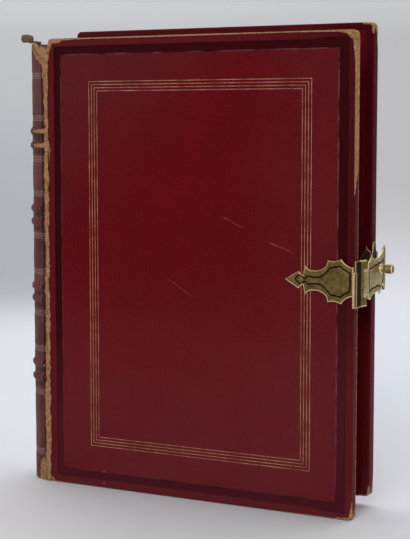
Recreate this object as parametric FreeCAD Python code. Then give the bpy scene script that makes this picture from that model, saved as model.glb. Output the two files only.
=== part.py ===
import FreeCAD, Part
import math
import os
from FreeCAD import Vector

# Antique leather book: a rounded spine with four pairs of raised bands, two covers with a sunken
# border band, and a hinged brass clasp. Millimetres, +Z up. The front cover faces -Y, the spine is at -X.

os.makedirs("parts", exist_ok=True)

# Book
cover_height = 280.0
front_width = 207.0
back_setback = 3.2
thickness = 42.0
cover_thickness = 7.3
back_lift = 6.0

# Covers
leather = 1.0
corner_radius = 3.0
turn_in = 14.0
border_width = 5.0
band_width = 5.0
band_depth = 0.5
band_corner_radius = 0.5
cover_opening_gap = 0.4

# Spine
spine_round = 21.0
lining = 1.2
spine_gap = 0.5
raised_band_height = 5.0
raised_band_crown = 1.8
raised_band_proud = 1.3
raised_band_shoulder = 1.0
raised_band_spacing = 8.6
raised_pair_first = 71.0
raised_pair_pitch = 49.2
raised_pair_count = 4
spine_below_cover = 2.0

# Text block
head_square = 9.0
text_gap = 0.3
fore_edge_recess = 12.0
fore_edge_hollow = 7.0
endband_radius = 1.5
endband_sides = 8
endband_clearance = 0.05

# Broken headcap
core_radius = 2.6
core_length = 6.4
core_above_strand = 1.8
core_beyond_strand = 1.8
core_sides = 10
strand_radius = 0.9
strand_clearance = 0.05
strand_start = 172.0
strand_sweep = 30.0

# Clasp
clasp_height = 138.2
plate_thickness = 0.9
engraving_width = 0.5
engraving_depth = 0.3
barrel_radius = 1.9
barrel_length = 26.8
barrel_drop = 1.6
barrel_behind = 6.6
barrel_inset = 0.3
pin_radius = 0.9
pin_clearance = 0.06
knuckle_gap = 0.15
leaf_setback = 1.2
leaf_before_axis = 0.75
knuckle_middle = 14.4
rivet_radius = 1.1
rivet_head = 0.6
rivet_shank = 0.5
rivet_depth = 3.0

# Strap and its knob
strap_thickness = 0.9
strap_lip = 1.2
strap_overhang = 1.6
strap_widening = 0.9
knob_behind = 6.1
knob_raise = 4.8
knob_radius = 2.2
knob_length = 7.6
knob_cap_radius = 2.6
knob_cap_length = 2.2
knob_cap_chamfer = 0.5
knob_collar_radius = 3.1
knob_collar_length = 0.9
knob_tail_radius = 1.2

# Catch
catch_boss_radius = 3.0
catch_boss_behind_knob = 2.4
catch_boss_clearance = 0.4

# Places that follow from the sizes
back_width = front_width - back_setback
spine_top = cover_height - spine_below_cover
text_height = cover_height - head_square
strand_height = spine_top + strand_radius + strand_clearance
half_thickness = thickness / 2.0
spine_radius = (half_thickness ** 2 + spine_round ** 2) / (2.0 * spine_round)
spine_axis_x = spine_radius - spine_round
lining_radius = spine_radius - leather
text_radius = lining_radius - lining
text_front = cover_thickness + text_gap
text_back = thickness - cover_thickness - plate_thickness - text_gap
barrel_x = front_width + barrel_inset
barrel_y = cover_thickness + barrel_behind
barrel_z = clasp_height - barrel_drop
catch_z = clasp_height + back_lift
strap_inner_x = barrel_x + barrel_radius - strap_thickness
strap_outer_x = barrel_x + barrel_radius
strap_end_y = thickness + strap_overhang
knob_y = thickness - knob_behind
knob_z = clasp_height + knob_raise
reach = 4.0 * cover_height

# Ragged tears at the head, as distance behind the front joint and depth below the cover's top
LINING_TEAR = [(0.5, 8.0), (5.0, 6.0), (7.4, 8.5), (9.0, 5.0), (12.0, 3.5)]
SPINE_TEAR = [(0.5, 14.0), (4.0, 11.5), (6.0, 13.0), (7.6, 9.5), (10.5, 8.0), (13.0, 5.0), (16.0, 3.5)]
CORE_DIRECTION = Vector(-0.80, -0.52, 0.16)

# Half of the ornate outline, as distance from the fore-edge and height above the clasp's middle
ORNAMENT = [(42.8, 0.0), (33.9, 5.2), (31.2, 2.9, -0.4), (30.0, 8.9), (24.6, 5.9, -1.0), (19.6, 6.8, -0.4),
            (16.0, 12.2, -1.2), (7.4, 13.0, -0.9), (1.2, 8.4, -0.8), (0.0, 8.6)]
PANEL = [(35.8, 0.0), (33.2, 2.6, 0.76), (30.8, 0.8, 0.5), (29.8, 0.8), (28.4, 2.4), (21.2, 2.0, -0.3),
         (16.6, 5.2, -0.5), (14.4, 7.6, -0.2), (8.1, 8.8), (2.1, 5.2, -0.3)]
RIVET_FROM_EDGE = 33.2

# The strap's outline, as distance in front of the back cover's face and height above the clasp's middle
STRAP_ROOT = (11.0, 9.8, 0.5)
STRAP_LOWER = [(21.6, -12.0), (15.8, -8.8, 0.9), (13.8, -9.2), (6.4, -10.2, 1.3), (3.2, -4.6, 0.5),
               (-0.8, -8.2, 0.6), (-strap_overhang, -8.2)]
STRAP_UPPER = [(-strap_overhang, 16.6), (-0.2, 18.2), (13.4, 11.2, 1.6), (15.4, 11.4), (19.6, 14.2, 0.7)]
STRAP_PANEL = [(23.8, -7.2), (14.8, -5.4, 0.7), (5.6, -6.4, 1.3), (1.4, -1.0, 0.3), (1.4, 10.6),
               (9.0, 8.6, 0.9), (15.4, 7.6, 0.5), (23.8, 6.4, 0.5)]

# The catch's inner leaf, as distance from the fore-edge, and its return over the fore-edge, as distance in front
# of the back cover's face; both with the height above the catch's middle
CATCH_LEAF = [(0.0, -8.6), (0.0, 8.6), (3.2, 12.0, 0.5), (6.5, 6.0, 0.6), (13.0, 0.0, 1.4), (6.5, -6.0, 1.4),
              (3.2, -12.0, 0.6)]
CATCH_RETURN = [(-plate_thickness, -8.6), (cover_thickness - 5.1, -8.6), (cover_thickness - 4.3, -14.2),
                (cover_thickness - 0.5, -14.2), (cover_thickness + 0.2, -8.6),
                (cover_thickness + plate_thickness, -8.6), (cover_thickness + plate_thickness, 8.6),
                (cover_thickness + 0.2, 8.6), (cover_thickness - 0.5, 14.2), (cover_thickness - 4.3, 14.2),
                (cover_thickness - 5.1, 8.6), (-plate_thickness, 8.6)]


def box(x0, x1, y0, y1, z0, z1):
    """Return a box between two corners."""
    return Part.makeBox(x1 - x0, y1 - y0, z1 - z0, Vector(x0, y0, z0))


def rounded_plate(x0, x1, z0, z1, y0, y1, radius):
    """Return an upright plate whose four corners, seen from the front, are rounded."""
    plate = box(x0, x1, y0, y1, z0, z1)
    corners = [edge for edge in plate.Edges if abs(edge.BoundBox.YLength - (y1 - y0)) < 0.001
               and edge.BoundBox.XLength < 0.001 and edge.BoundBox.ZLength < 0.001]
    return plate.makeFillet(radius, corners)


def path_wire(points, place):
    """Return a closed wire; a point with a third value bulges the run that leads to it.

    The third value is the sagitta of that run's arc, to the left of the run when positive.
    """
    edges = []
    count = len(points)
    for index in range(count):
        start = points[index]
        end = points[(index + 1) % count]
        first = place(start[0], start[1])
        last = place(end[0], end[1])
        if len(end) == 3:
            run = math.hypot(end[0] - start[0], end[1] - start[1])
            middle_u = (start[0] + end[0]) / 2.0 - (end[1] - start[1]) / run * end[2]
            middle_v = (start[1] + end[1]) / 2.0 + (end[0] - start[0]) / run * end[2]
            edges.append(Part.Arc(first, place(middle_u, middle_v), last).toShape())
        else:
            edges.append(Part.LineSegment(first, last).toShape())
    return Part.Wire(edges)


def on_front(y):
    """Return a function that puts outline points on the upright plane at this depth."""
    return lambda x, z: Vector(x, y, z)


def on_side(x):
    """Return a function that puts outline points on the fore-edge plane at this X."""
    return lambda y, z: Vector(x, y, z)


def mirrored(half):
    """Return a closed outline from its upper half, which runs from the tip to the root."""
    lower = []
    for index in range(len(half) - 1, -1, -1):
        point = half[index]
        follows = half[index + 1] if index + 1 < len(half) else (0.0, 0.0)
        if len(follows) == 3:
            lower.append((point[0], -point[1], follows[2]))
        else:
            lower.append((point[0], -point[1]))
    return half + [point for point in lower if abs(point[1]) > 0.001]


def set_from(edge, middle, points):
    """Return outline points from their distances before an edge and heights above a middle."""
    return [(edge - point[0], middle + point[1]) + tuple(point[2:]) for point in points]


def engraving(points, place, depth):
    """Return the solid of a line engraved along a closed outline."""
    wire = path_wire(points, place)
    outer = Part.Face(wire.makeOffset2D(engraving_width / 2.0, 0)).extrude(depth)
    inner = Part.Face(wire.makeOffset2D(-engraving_width / 2.0, 0)).extrude(depth)
    return outer.cut(inner)


def round_back(radius, z0, z1):
    """Return the part of an upright cylinder that lies behind the joints."""
    drum = Part.makeCylinder(radius, z1 - z0, Vector(spine_axis_x, half_thickness, z0))
    return drum.common(box(-reach, -spine_gap, -reach, reach, z0, z1))


def text_block():
    """Return the pages as one block: rounded back with shoulders and a hollow fore-edge."""
    end_x = front_width - fore_edge_recess
    block = box(-2.0 * spine_gap, end_x, text_front, text_back, 0.0, text_height)
    half = (text_back - text_front) / 2.0
    hollow_radius = (half ** 2 + fore_edge_hollow ** 2) / (2.0 * fore_edge_hollow)
    hollow_x = end_x - fore_edge_hollow + hollow_radius
    hollow = Part.makeCylinder(hollow_radius, text_height, Vector(hollow_x, (text_front + text_back) / 2.0, 0.0))
    return block.cut(hollow).fuse(round_back(text_radius, 0.0, text_height)).removeSplitter()


def torn_away(tear):
    """Return what is missing above a tear, in the spine's front half."""
    above = cover_height + head_square
    outline = [(-behind, cover_height - below) for behind, below in tear]
    outline += [(outline[-1][0], above), (spine_gap, above), (spine_gap, outline[0][1])]
    return Part.Face(path_wire(outline, on_front(-leather))).extrude(Vector(0, half_thickness, 0))


def spine_lining():
    """Return the paper lining between the pages and the spine leather, torn at the head."""
    shell = round_back(lining_radius, 0.0, spine_top).cut(round_back(text_radius, 0.0, spine_top))
    return shell.cut(torn_away(LINING_TEAR))


def raised_band(z):
    """Return the outline of one raised band, as radius and height."""
    half = raised_band_height / 2.0
    crown = raised_band_crown / 2.0
    shoulder = (half + crown) / 2.0
    top = spine_radius + raised_band_proud
    step = spine_radius + raised_band_shoulder
    return [(spine_radius, z - half), (step, z - shoulder), (top, z - crown), (top, z + crown),
            (step, z + shoulder), (spine_radius, z + half)]


def spine_sector(outline):
    """Return an outline of radius and height swept round the spine, as far as its raised bands go."""
    turn = math.asin((half_thickness - cover_opening_gap) / (spine_radius + raised_band_proud))
    start = Vector(-math.cos(turn), -math.sin(turn), 0.0)
    axis = Vector(spine_axis_x, half_thickness, 0.0)
    section = path_wire(outline, lambda u, v: axis + start * u + Vector(0, 0, v))
    return Part.Face(section).revolve(axis, Vector(0, 0, 1), -2.0 * math.degrees(turn))


def spine_leather():
    """Return the spine leather with its raised bands, its head torn down at the front joint."""
    plain = round_back(spine_radius, 0.0, spine_top).cut(round_back(lining_radius, 0.0, spine_top))
    outline = [(lining_radius, 0.0), (spine_radius, 0.0)]
    for pair in range(raised_pair_count):
        middle = raised_pair_first + pair * raised_pair_pitch
        for side in (-0.5, 0.5):
            outline += raised_band(middle + side * raised_band_spacing)
    outline += [(spine_radius, spine_top), (lining_radius, spine_top)]
    cleared = [(leather, 0.0), (spine_radius + leather, 0.0), (spine_radius + leather, spine_top),
               (leather, spine_top)]
    ends = plain.cut(spine_sector(cleared))
    return spine_sector(outline).fuse(ends).cut(torn_away(SPINE_TEAR))


def many_sided(radius, sides, place):
    """Return a regular many-sided face of this radius, put in place by a function of u and v."""
    points = []
    for index in range(sides):
        angle = 2.0 * math.pi * (index + 0.5) / sides
        points.append((radius * math.cos(angle), radius * math.sin(angle)))
    return Part.Face(path_wire(points, place))


def endband(z):
    """Return the sewn band that follows the back of the pages at the head."""
    middle = text_radius - endband_radius - endband_clearance
    section = many_sided(endband_radius, endband_sides,
                         lambda u, v: Vector(spine_axis_x + middle + u, half_thickness, z + v))
    ring = section.revolve(Vector(spine_axis_x, half_thickness, 0.0), Vector(0, 0, 1), 360)
    return ring.common(box(-reach, -spine_gap, -reach, reach, z - reach, z + reach))


def headcap_core():
    """Return the broken headcap's cord: a thick end on a thin strand along the spine's upper edge."""
    path_radius = (lining_radius + spine_radius) / 2.0
    section = many_sided(strand_radius, core_sides, lambda u, v: Vector(path_radius + u, 0.0, v))
    strand = section.revolve(Vector(0, 0, 0), Vector(0, 0, 1), strand_sweep)
    strand.rotate(Vector(0, 0, 0), Vector(0, 0, 1), strand_start)
    strand.translate(Vector(spine_axis_x, half_thickness, strand_height))
    angle = math.radians(strand_start + strand_sweep)
    end = Vector(spine_axis_x + path_radius * math.cos(angle), half_thickness + path_radius * math.sin(angle),
                 strand_height)
    direction = Vector(CORE_DIRECTION).normalize()
    across = direction.cross(Vector(0, 0, 1)).normalize()
    upward = across.cross(direction)
    start = end + direction * (core_beyond_strand - core_length / 2.0) + Vector(0, 0, core_above_strand)
    core = many_sided(core_radius, core_sides, lambda u, v: start + across * u + upward * v)
    return strand.fuse(core.extrude(direction * core_length)).removeSplitter()


def cover_pieces(width, side):
    """Return a cover's board, leather and pastedown; side is 1 at the front and -1 at the back."""
    lift = 0.0 if side > 0 else back_lift
    top = cover_height + lift

    def plate(inset, depth_0, depth_1, radius):
        """Return a rounded plate inset from the cover's edges, between two depths from its face."""
        near, far = sorted((depth_0, depth_1)) if side > 0 else sorted((thickness - depth_0, thickness - depth_1))
        return rounded_plate(inset, width - inset, lift + inset, top - inset, near, far, radius)

    board = plate(leather, leather, cover_thickness - leather, corner_radius - leather)
    pastedown = plate(turn_in, cover_thickness - leather, cover_thickness, corner_radius)
    skin = plate(0.0, 0.0, cover_thickness, corner_radius).cut(board).cut(pastedown)
    sunk_outer = plate(border_width, -band_depth, band_depth, band_corner_radius)
    sunk_inner = plate(border_width + band_width, -band_depth, band_depth, band_corner_radius)
    return board, skin.cut(sunk_outer.cut(sunk_inner)), pastedown


def ornate_plate(width, face_y, outward, middle):
    """Return the ornate plate on a cover's face, with its engraved lines."""
    outer_y = face_y + outward * plate_thickness
    outline = path_wire(set_from(width, middle, mirrored(ORNAMENT)), on_front(face_y))
    plate = Part.Face(outline).extrude(Vector(0, outward * plate_thickness, 0))
    line_y = outer_y - outward * engraving_depth
    cut_depth = Vector(0, outward * (engraving_depth + plate_thickness), 0)
    plate = plate.cut(engraving(set_from(width, middle, mirrored(PANEL)), on_front(line_y), cut_depth))
    return plate.cut(rivet_shaft(width, face_y, outward, middle))


def rivet_shaft(width, face_y, outward, middle):
    """Return the shank of the rivet that holds the tip of an ornate plate."""
    length = rivet_depth + plate_thickness
    inner = Vector(width - RIVET_FROM_EDGE, face_y - outward * rivet_depth, middle)
    return Part.makeCylinder(rivet_shank, length, inner, Vector(0, outward, 0))


def rivet(width, face_y, outward, middle):
    """Return the domed rivet that holds the tip of an ornate plate."""
    dome_radius = (rivet_radius ** 2 + rivet_head ** 2) / (2.0 * rivet_head)
    outer_y = face_y + outward * plate_thickness
    ball = Part.makeSphere(dome_radius, Vector(0, 0, rivet_head - dome_radius))
    dome = ball.common(Part.makeCylinder(2.0 * rivet_radius, rivet_head))
    dome.rotate(Vector(0, 0, 0), Vector(1, 0, 0), -90.0 * outward)
    dome.translate(Vector(width - RIVET_FROM_EDGE, outer_y, middle))
    return dome.fuse(rivet_shaft(width, face_y, outward, middle))


def knuckle(z0, z1):
    """Return one knuckle of the hinge, before it is bored."""
    return Part.makeCylinder(barrel_radius, z1 - z0, Vector(barrel_x, barrel_y, z0))


def barrel_bore():
    """Return the running bore through all the knuckles."""
    return Part.makeCylinder(pin_radius + pin_clearance, barrel_length,
                             Vector(barrel_x, barrel_y, barrel_z - barrel_length / 2.0))


def clasp_plate():
    """Return the front plate: ornate face, return over the fore-edge and two hinge knuckles."""
    plate = ornate_plate(front_width, 0.0, -1.0, clasp_height)
    half = barrel_length / 2.0
    leaf_end = barrel_y - leaf_before_axis
    edge_x = front_width + plate_thickness
    bend_half = ORNAMENT[-1][1]
    bend = box(front_width, edge_x, -plate_thickness, 0.0, clasp_height - bend_half, clasp_height + bend_half)
    leaf = box(front_width, edge_x, 0.0, leaf_end, barrel_z - half, barrel_z + half)
    middle = knuckle_middle / 2.0 + knuckle_gap
    clear = box(front_width - plate_thickness, edge_x + plate_thickness,
                barrel_y - barrel_radius - leaf_setback, barrel_y, barrel_z - middle, barrel_z + middle)
    plate = plate.fuse([bend, leaf.cut(clear), knuckle(barrel_z - half, barrel_z - middle),
                        knuckle(barrel_z + middle, barrel_z + half)])
    return plate.cut(barrel_bore()).removeSplitter()


def hinge_pin():
    """Return the pin of the clasp's hinge."""
    return Part.makeCylinder(pin_radius, barrel_length, Vector(barrel_x, barrel_y, barrel_z - barrel_length / 2.0))


def clasp_strap():
    """Return the scalloped strap that swings over the fore-edge, with its own knuckle."""
    low = -knuckle_middle / 2.0
    root_y = barrel_y + barrel_radius
    widen_y = root_y + strap_widening
    outline = [(barrel_y, barrel_z + low), (root_y + strap_widening / 2.0, barrel_z + low),
               (widen_y, clasp_height - STRAP_ROOT[0])]
    outline += set_from(thickness, clasp_height, STRAP_LOWER + STRAP_UPPER)
    outline += [(widen_y, clasp_height + STRAP_ROOT[1], STRAP_ROOT[2]),
                (root_y + strap_widening / 2.0, barrel_z - low), (barrel_y, barrel_z - low)]
    strap = Part.Face(path_wire(outline, on_side(strap_inner_x))).extrude(Vector(strap_thickness, 0, 0))
    lip = box(strap_inner_x - strap_lip, strap_inner_x, strap_end_y - plate_thickness, strap_end_y,
              clasp_height + STRAP_LOWER[-1][1], clasp_height + STRAP_UPPER[0][1])
    panel = set_from(thickness, clasp_height, STRAP_PANEL)
    line_x = strap_outer_x - engraving_depth
    strap = strap.cut(engraving(panel, on_side(line_x), Vector(plate_thickness, 0, 0)))
    tube = knuckle(barrel_z + low, barrel_z - low)
    hole = Part.makeCylinder(knob_tail_radius, reach, Vector(strap_inner_x - strap_lip, knob_y, knob_z),
                             Vector(1, 0, 0))
    strap = strap.fuse([lip, tube]).cut(hole)
    return strap.cut(barrel_bore()).removeSplitter()


def strap_knob():
    """Return the turned knob riveted through the strap, with its collar and flat cap."""
    start = Vector(strap_outer_x, knob_y, knob_z)
    along = Vector(1, 0, 0)
    collar = Part.makeCylinder(knob_collar_radius, knob_collar_length, start, along)
    stem = Part.makeCylinder(knob_radius, knob_length, start, along)
    cap = Part.makeCylinder(knob_cap_radius, knob_cap_length,
                            start + along * (knob_length - knob_cap_length), along)
    rims = [edge for edge in cap.Edges if edge.Length > 2.0 * math.pi * knob_radius]
    cap = cap.makeChamfer(knob_cap_chamfer, rims)
    tail = Part.makeCylinder(knob_tail_radius, strap_thickness, Vector(strap_inner_x, knob_y, knob_z), along)
    return collar.fuse([stem, cap, tail]).removeSplitter()


def catch_plate():
    """Return the back plate: ornate face, return over the fore-edge, inner leaf and boss."""
    plate = ornate_plate(back_width, thickness, 1.0, catch_z)
    edge_x = back_width + plate_thickness
    inner_y = thickness - cover_thickness
    over = Part.Face(path_wire(set_from(thickness, catch_z, CATCH_RETURN), on_side(back_width)))
    over = over.extrude(Vector(plate_thickness, 0, 0))
    leaf = Part.Face(path_wire(set_from(back_width, catch_z, CATCH_LEAF), on_front(inner_y - plate_thickness)))
    leaf = leaf.extrude(Vector(0, plate_thickness, 0))
    boss_length = strap_inner_x - strap_lip - edge_x - catch_boss_clearance
    boss_start = Vector(edge_x, knob_y + catch_boss_behind_knob, catch_z)
    boss = Part.makeCylinder(catch_boss_radius, boss_length, boss_start, Vector(1, 0, 0))
    return plate.fuse([over, leaf, boss]).removeSplitter()


def build():
    """Return every piece of the book by node name, in the book's own frame."""
    front_board, front_leather, front_pastedown = cover_pieces(front_width, 1)
    back_board, back_leather, back_pastedown = cover_pieces(back_width, -1)
    front_hole = rivet_shaft(front_width, 0.0, -1.0, clasp_height)
    back_hole = rivet_shaft(back_width, thickness, 1.0, catch_z)
    return {
        "text_block": text_block(),
        "spine_lining": spine_lining(),
        "spine_leather": spine_leather(),
        "head_band": endband(text_height + endband_radius),
        "headcap_core": headcap_core(),
        "front_board": front_board.cut(front_hole),
        "front_leather": front_leather.cut(front_hole),
        "front_pastedown": front_pastedown,
        "back_board": back_board.cut(back_hole),
        "back_leather": back_leather.cut(back_hole),
        "back_pastedown": back_pastedown,
        "clasp_plate": clasp_plate(),
        "clasp_rivet": rivet(front_width, 0.0, -1.0, clasp_height),
        "hinge_pin": hinge_pin(),
        "clasp_strap": clasp_strap(),
        "strap_knob": strap_knob(),
        "catch_plate": catch_plate(),
        "catch_rivet": rivet(back_width, thickness, 1.0, catch_z),
    }


pieces = build()
whole = Part.makeCompound(list(pieces.values())).optimalBoundingBox(False, False)
origin = Vector((whole.XMin + whole.XMax) / 2.0, (whole.YMin + whole.YMax) / 2.0, whole.ZMin)
for name, shape in pieces.items():
    shape.translate(origin * -1)
    shape.exportStep("parts/" + name + ".step")
    print(name, shape.ShapeType, len(shape.Solids), "valid", shape.isValid(), "volume", round(shape.Volume, 1))
print("size", round(whole.XLength, 3), round(whole.YLength, 3), round(whole.ZLength, 3))
print("origin", round(origin.x, 3), round(origin.y, 3), round(origin.z, 3))
for label, x, y in (("front hinge", 0.0, 0.0), ("back hinge", 0.0, thickness), ("clasp hinge", barrel_x, barrel_y)):
    print(label, round((x - origin.x) / 1000.0, 6), round((y - origin.y) / 1000.0, 6))
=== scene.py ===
import logging
import math
from dataclasses import dataclass, field
from enum import Enum
from typing import Callable, Iterable, Sequence

import bmesh
import bpy
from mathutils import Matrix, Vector, noise
from mathutils.geometry import delaunay_2d_cdt, tessellate_polygon


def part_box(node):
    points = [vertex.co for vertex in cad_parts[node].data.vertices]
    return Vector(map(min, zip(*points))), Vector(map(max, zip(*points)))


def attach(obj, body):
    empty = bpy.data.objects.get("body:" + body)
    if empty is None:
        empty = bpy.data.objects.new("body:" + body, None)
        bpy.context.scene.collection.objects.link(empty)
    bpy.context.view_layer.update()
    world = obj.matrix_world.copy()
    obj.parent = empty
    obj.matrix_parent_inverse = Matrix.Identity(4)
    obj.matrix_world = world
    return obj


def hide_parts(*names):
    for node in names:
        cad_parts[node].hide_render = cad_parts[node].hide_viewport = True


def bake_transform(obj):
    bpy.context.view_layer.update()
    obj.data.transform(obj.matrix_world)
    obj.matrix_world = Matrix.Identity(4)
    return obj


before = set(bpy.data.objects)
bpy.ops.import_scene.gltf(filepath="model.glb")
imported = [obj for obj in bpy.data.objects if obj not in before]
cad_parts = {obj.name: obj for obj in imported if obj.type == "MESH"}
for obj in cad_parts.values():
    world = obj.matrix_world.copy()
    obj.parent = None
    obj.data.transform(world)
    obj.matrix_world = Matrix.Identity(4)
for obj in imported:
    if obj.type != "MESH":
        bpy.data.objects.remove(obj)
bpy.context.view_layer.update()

MM = 0.001
LOG = logging.getLogger("book")
Point = tuple[float, float, float]
Flat = tuple[float, float]
Colour = tuple[float, float, float, float]


def srgb(red: int, green: int, blue: int) -> Colour:
    """Return a linear colour for a colour given in 0 to 255 as a screen shows it.

    Args:
        red: Red part, 0 to 255.
        green: Green part, 0 to 255.
        blue: Blue part, 0 to 255.

    Returns:
        The linear red, green, blue and an alpha of one.
    """
    linear = []
    for part in (red, green, blue):
        share = part / 255.0
        linear.append(share / 12.92 if share <= 0.04045 else ((share + 0.055) / 1.055) ** 2.4)
    return (linear[0], linear[1], linear[2], 1.0)


def smooth(value: float, low: float, high: float) -> float:
    """Return how far a value has come from low to high, eased at both ends.

    Args:
        value: The number to place.
        low: Where the result is zero.
        high: Where the result is one.

    Returns:
        A share between zero and one.
    """
    share = min(max((value - low) / (high - low), 0.0), 1.0)
    return share * share * (3.0 - 2.0 * share)


def grit(point: Sequence[float], size: float, seed: float = 0.0) -> float:
    """Return smooth noise around zero, about -1 to 1, whose lumps are this many millimetres wide.

    Args:
        point: Where to read it, in millimetres.
        size: Width of the lumps in millimetres.
        seed: Shifts the pattern.

    Returns:
        The noise there.
    """
    return noise.noise(Vector((point[0], point[1], point[2])) / size + Vector((seed, 1.7 * seed, -seed)))


@dataclass(frozen=True)
class Book:
    """Where the book stands in the frame and its main sizes in millimetres."""

    origin: Vector
    width: float
    back_width: float
    height: float
    thickness: float
    cover_thickness: float
    back_lift: float
    spine_round: float = 21.0
    joint_gap: float = 0.5

    @classmethod
    def from_frame(cls) -> "Book":
        """Read the book's place and sizes from the two leather covers of the frame."""
        front_low, front_high = (Vector(corner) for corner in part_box("front_leather"))
        back_low, back_high = (Vector(corner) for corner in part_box("back_leather"))
        return cls(origin=front_low,
                   width=(front_high.x - front_low.x) / MM,
                   back_width=(back_high.x - back_low.x) / MM,
                   height=(front_high.z - front_low.z) / MM,
                   thickness=(back_high.y - front_low.y) / MM,
                   cover_thickness=(front_high.y - front_low.y) / MM,
                   back_lift=(back_low.z - front_low.z) / MM)

    @property
    def spine_radius(self) -> float:
        """Radius of the spine leather's outer surface."""
        half = self.thickness / 2.0
        return (half ** 2 + self.spine_round ** 2) / (2.0 * self.spine_round)

    @property
    def spine_axis(self) -> Flat:
        """The X and Y of the spine's upright axis."""
        return (self.spine_radius - self.spine_round, self.thickness / 2.0)

    def place(self, point: Sequence[float]) -> Vector:
        """Return the frame's metres for a point in book millimetres.

        Args:
            point: X from the front joint, Y from the front face, Z from the tail.

        Returns:
            The same point in the frame.
        """
        return self.origin + Vector((point[0], point[1], point[2])) * MM


class Shell:
    """The points and faces of a piece in book millimetres, with marks that its finish reads."""

    def __init__(self) -> None:
        """Start an empty piece."""
        self.points: list[Point] = []
        self.faces: list[tuple[int, ...]] = []
        self.marks: list[float] = []

    def loop(self, points: Iterable[Sequence[float]], marks: float | Sequence[float] = 0.0) -> list[int]:
        """Add a row of points.

        Args:
            points: The points in order.
            marks: One mark for all of them, or one for each.

        Returns:
            The new points' numbers.
        """
        start = len(self.points)
        self.points.extend((point[0], point[1], point[2]) for point in points)
        count = len(self.points) - start
        self.marks.extend([marks] * count if isinstance(marks, (int, float)) else marks)
        return list(range(start, start + count))

    def bridge(self, first: Sequence[int], second: Sequence[int], closed: bool = True) -> None:
        """Join two rows of equal length with four-sided faces.

        Args:
            first: The numbers of one row.
            second: The numbers of the other row.
            closed: Whether the rows close on themselves.
        """
        count = len(first)
        for index in range(count if closed else count - 1):
            after = (index + 1) % count
            self.faces.append((first[index], first[after], second[after], second[index]))

    def stack(self, loops: Sequence[Sequence[int]], closed: bool = True) -> None:
        """Join each row with the next one.

        Args:
            loops: The rows in order.
            closed: Whether each row closes on itself.
        """
        for first, second in zip(loops, loops[1:]):
            self.bridge(first, second, closed)

    def fill(self, loops: Sequence[Sequence[int]]) -> None:
        """Fill a flat outline, with any further rows as holes in it.

        Args:
            loops: The outline's numbers first, then each hole's.
        """
        numbers = [number for loop in loops for number in loop]
        outlines = [[Vector(self.points[number]) for number in loop] for loop in loops]
        for triangle in tessellate_polygon(outlines):
            self.faces.append(tuple(numbers[corner] for corner in triangle))

    def make(self, name: str, book: Book, material: bpy.types.Material, crease: float = 40.0,
             sink: float = 0.0) -> bpy.types.Object:
        """Turn the points and faces into an object of the scene.

        Args:
            name: The piece's name.
            book: Gives the place of the millimetres in the frame.
            material: The finish.
            crease: Edges that turn by more degrees than this stay sharp.
            sink: How far worn points lie below the surface, in millimetres.

        Returns:
            The new object.
        """
        mesh = bpy.data.meshes.new(name)
        mesh.from_pydata([book.place(point) for point in self.points], [], self.faces)
        marks = mesh.attributes.new("mark", "FLOAT", "POINT")
        marks.data.foreach_set("value", self.marks)
        work = bmesh.new()
        work.from_mesh(mesh)
        bmesh.ops.recalc_face_normals(work, faces=work.faces)
        if sink > 0.0:
            work.normal_update()
            for vertex, point, mark in zip(work.verts, self.points, self.marks):
                depth = sink * smooth(mark, 0.42, 0.62) * (1.0 + 0.8 * grit(point, 1.3))
                vertex.co = vertex.co - vertex.normal * depth * MM
        work.to_mesh(mesh)
        work.free()
        mesh.polygons.foreach_set("use_smooth", [True] * len(mesh.polygons))
        mesh.set_sharp_from_angle(angle=math.radians(crease))
        mesh.materials.append(material)
        piece = bpy.data.objects.new(name, mesh)
        bpy.context.scene.collection.objects.link(piece)
        LOG.info("%s: %d points, %d faces", name, len(mesh.vertices), len(mesh.polygons))
        return piece


class Value:
    """A number that changes over a surface, with arithmetic that adds the nodes for it."""

    def __init__(self, graph: "Graph", socket: bpy.types.NodeSocket) -> None:
        """Wrap an output socket.

        Args:
            graph: The graph the socket belongs to.
            socket: The output that holds the number.
        """
        self.graph = graph
        self.socket = socket

    def __add__(self, other: "Value | float") -> "Value":
        """Return the sum."""
        return self.graph.math("ADD", self, other)

    def __sub__(self, other: "Value | float") -> "Value":
        """Return the difference."""
        return self.graph.math("SUBTRACT", self, other)

    def __rsub__(self, other: float) -> "Value":
        """Return a plain number less this one."""
        return self.graph.math("SUBTRACT", other, self)

    def __mul__(self, other: "Value | float") -> "Value":
        """Return the product."""
        return self.graph.math("MULTIPLY", self, other)

    def absolute(self) -> "Value":
        """Return the number without its sign."""
        return self.graph.math("ABSOLUTE", self)

    def least(self, other: "Value | float") -> "Value":
        """Return the smaller of two numbers."""
        return self.graph.math("MINIMUM", self, other)

    def most(self, other: "Value | float") -> "Value":
        """Return the larger of two numbers."""
        return self.graph.math("MAXIMUM", self, other)

    def step(self, low: float, high: float) -> "Value":
        """Return the share of the way from low to high, eased and held between zero and one."""
        node = self.graph.add("ShaderNodeMapRange", interpolation_type="SMOOTHSTEP")
        self.graph.feed(node.inputs["Value"], self)
        node.inputs["From Min"].default_value = min(low, high)
        node.inputs["From Max"].default_value = max(low, high)
        node.inputs["To Min"].default_value = 0.0 if low < high else 1.0
        node.inputs["To Max"].default_value = 1.0 if low < high else 0.0
        return Value(self.graph, node.outputs["Result"])


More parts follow.
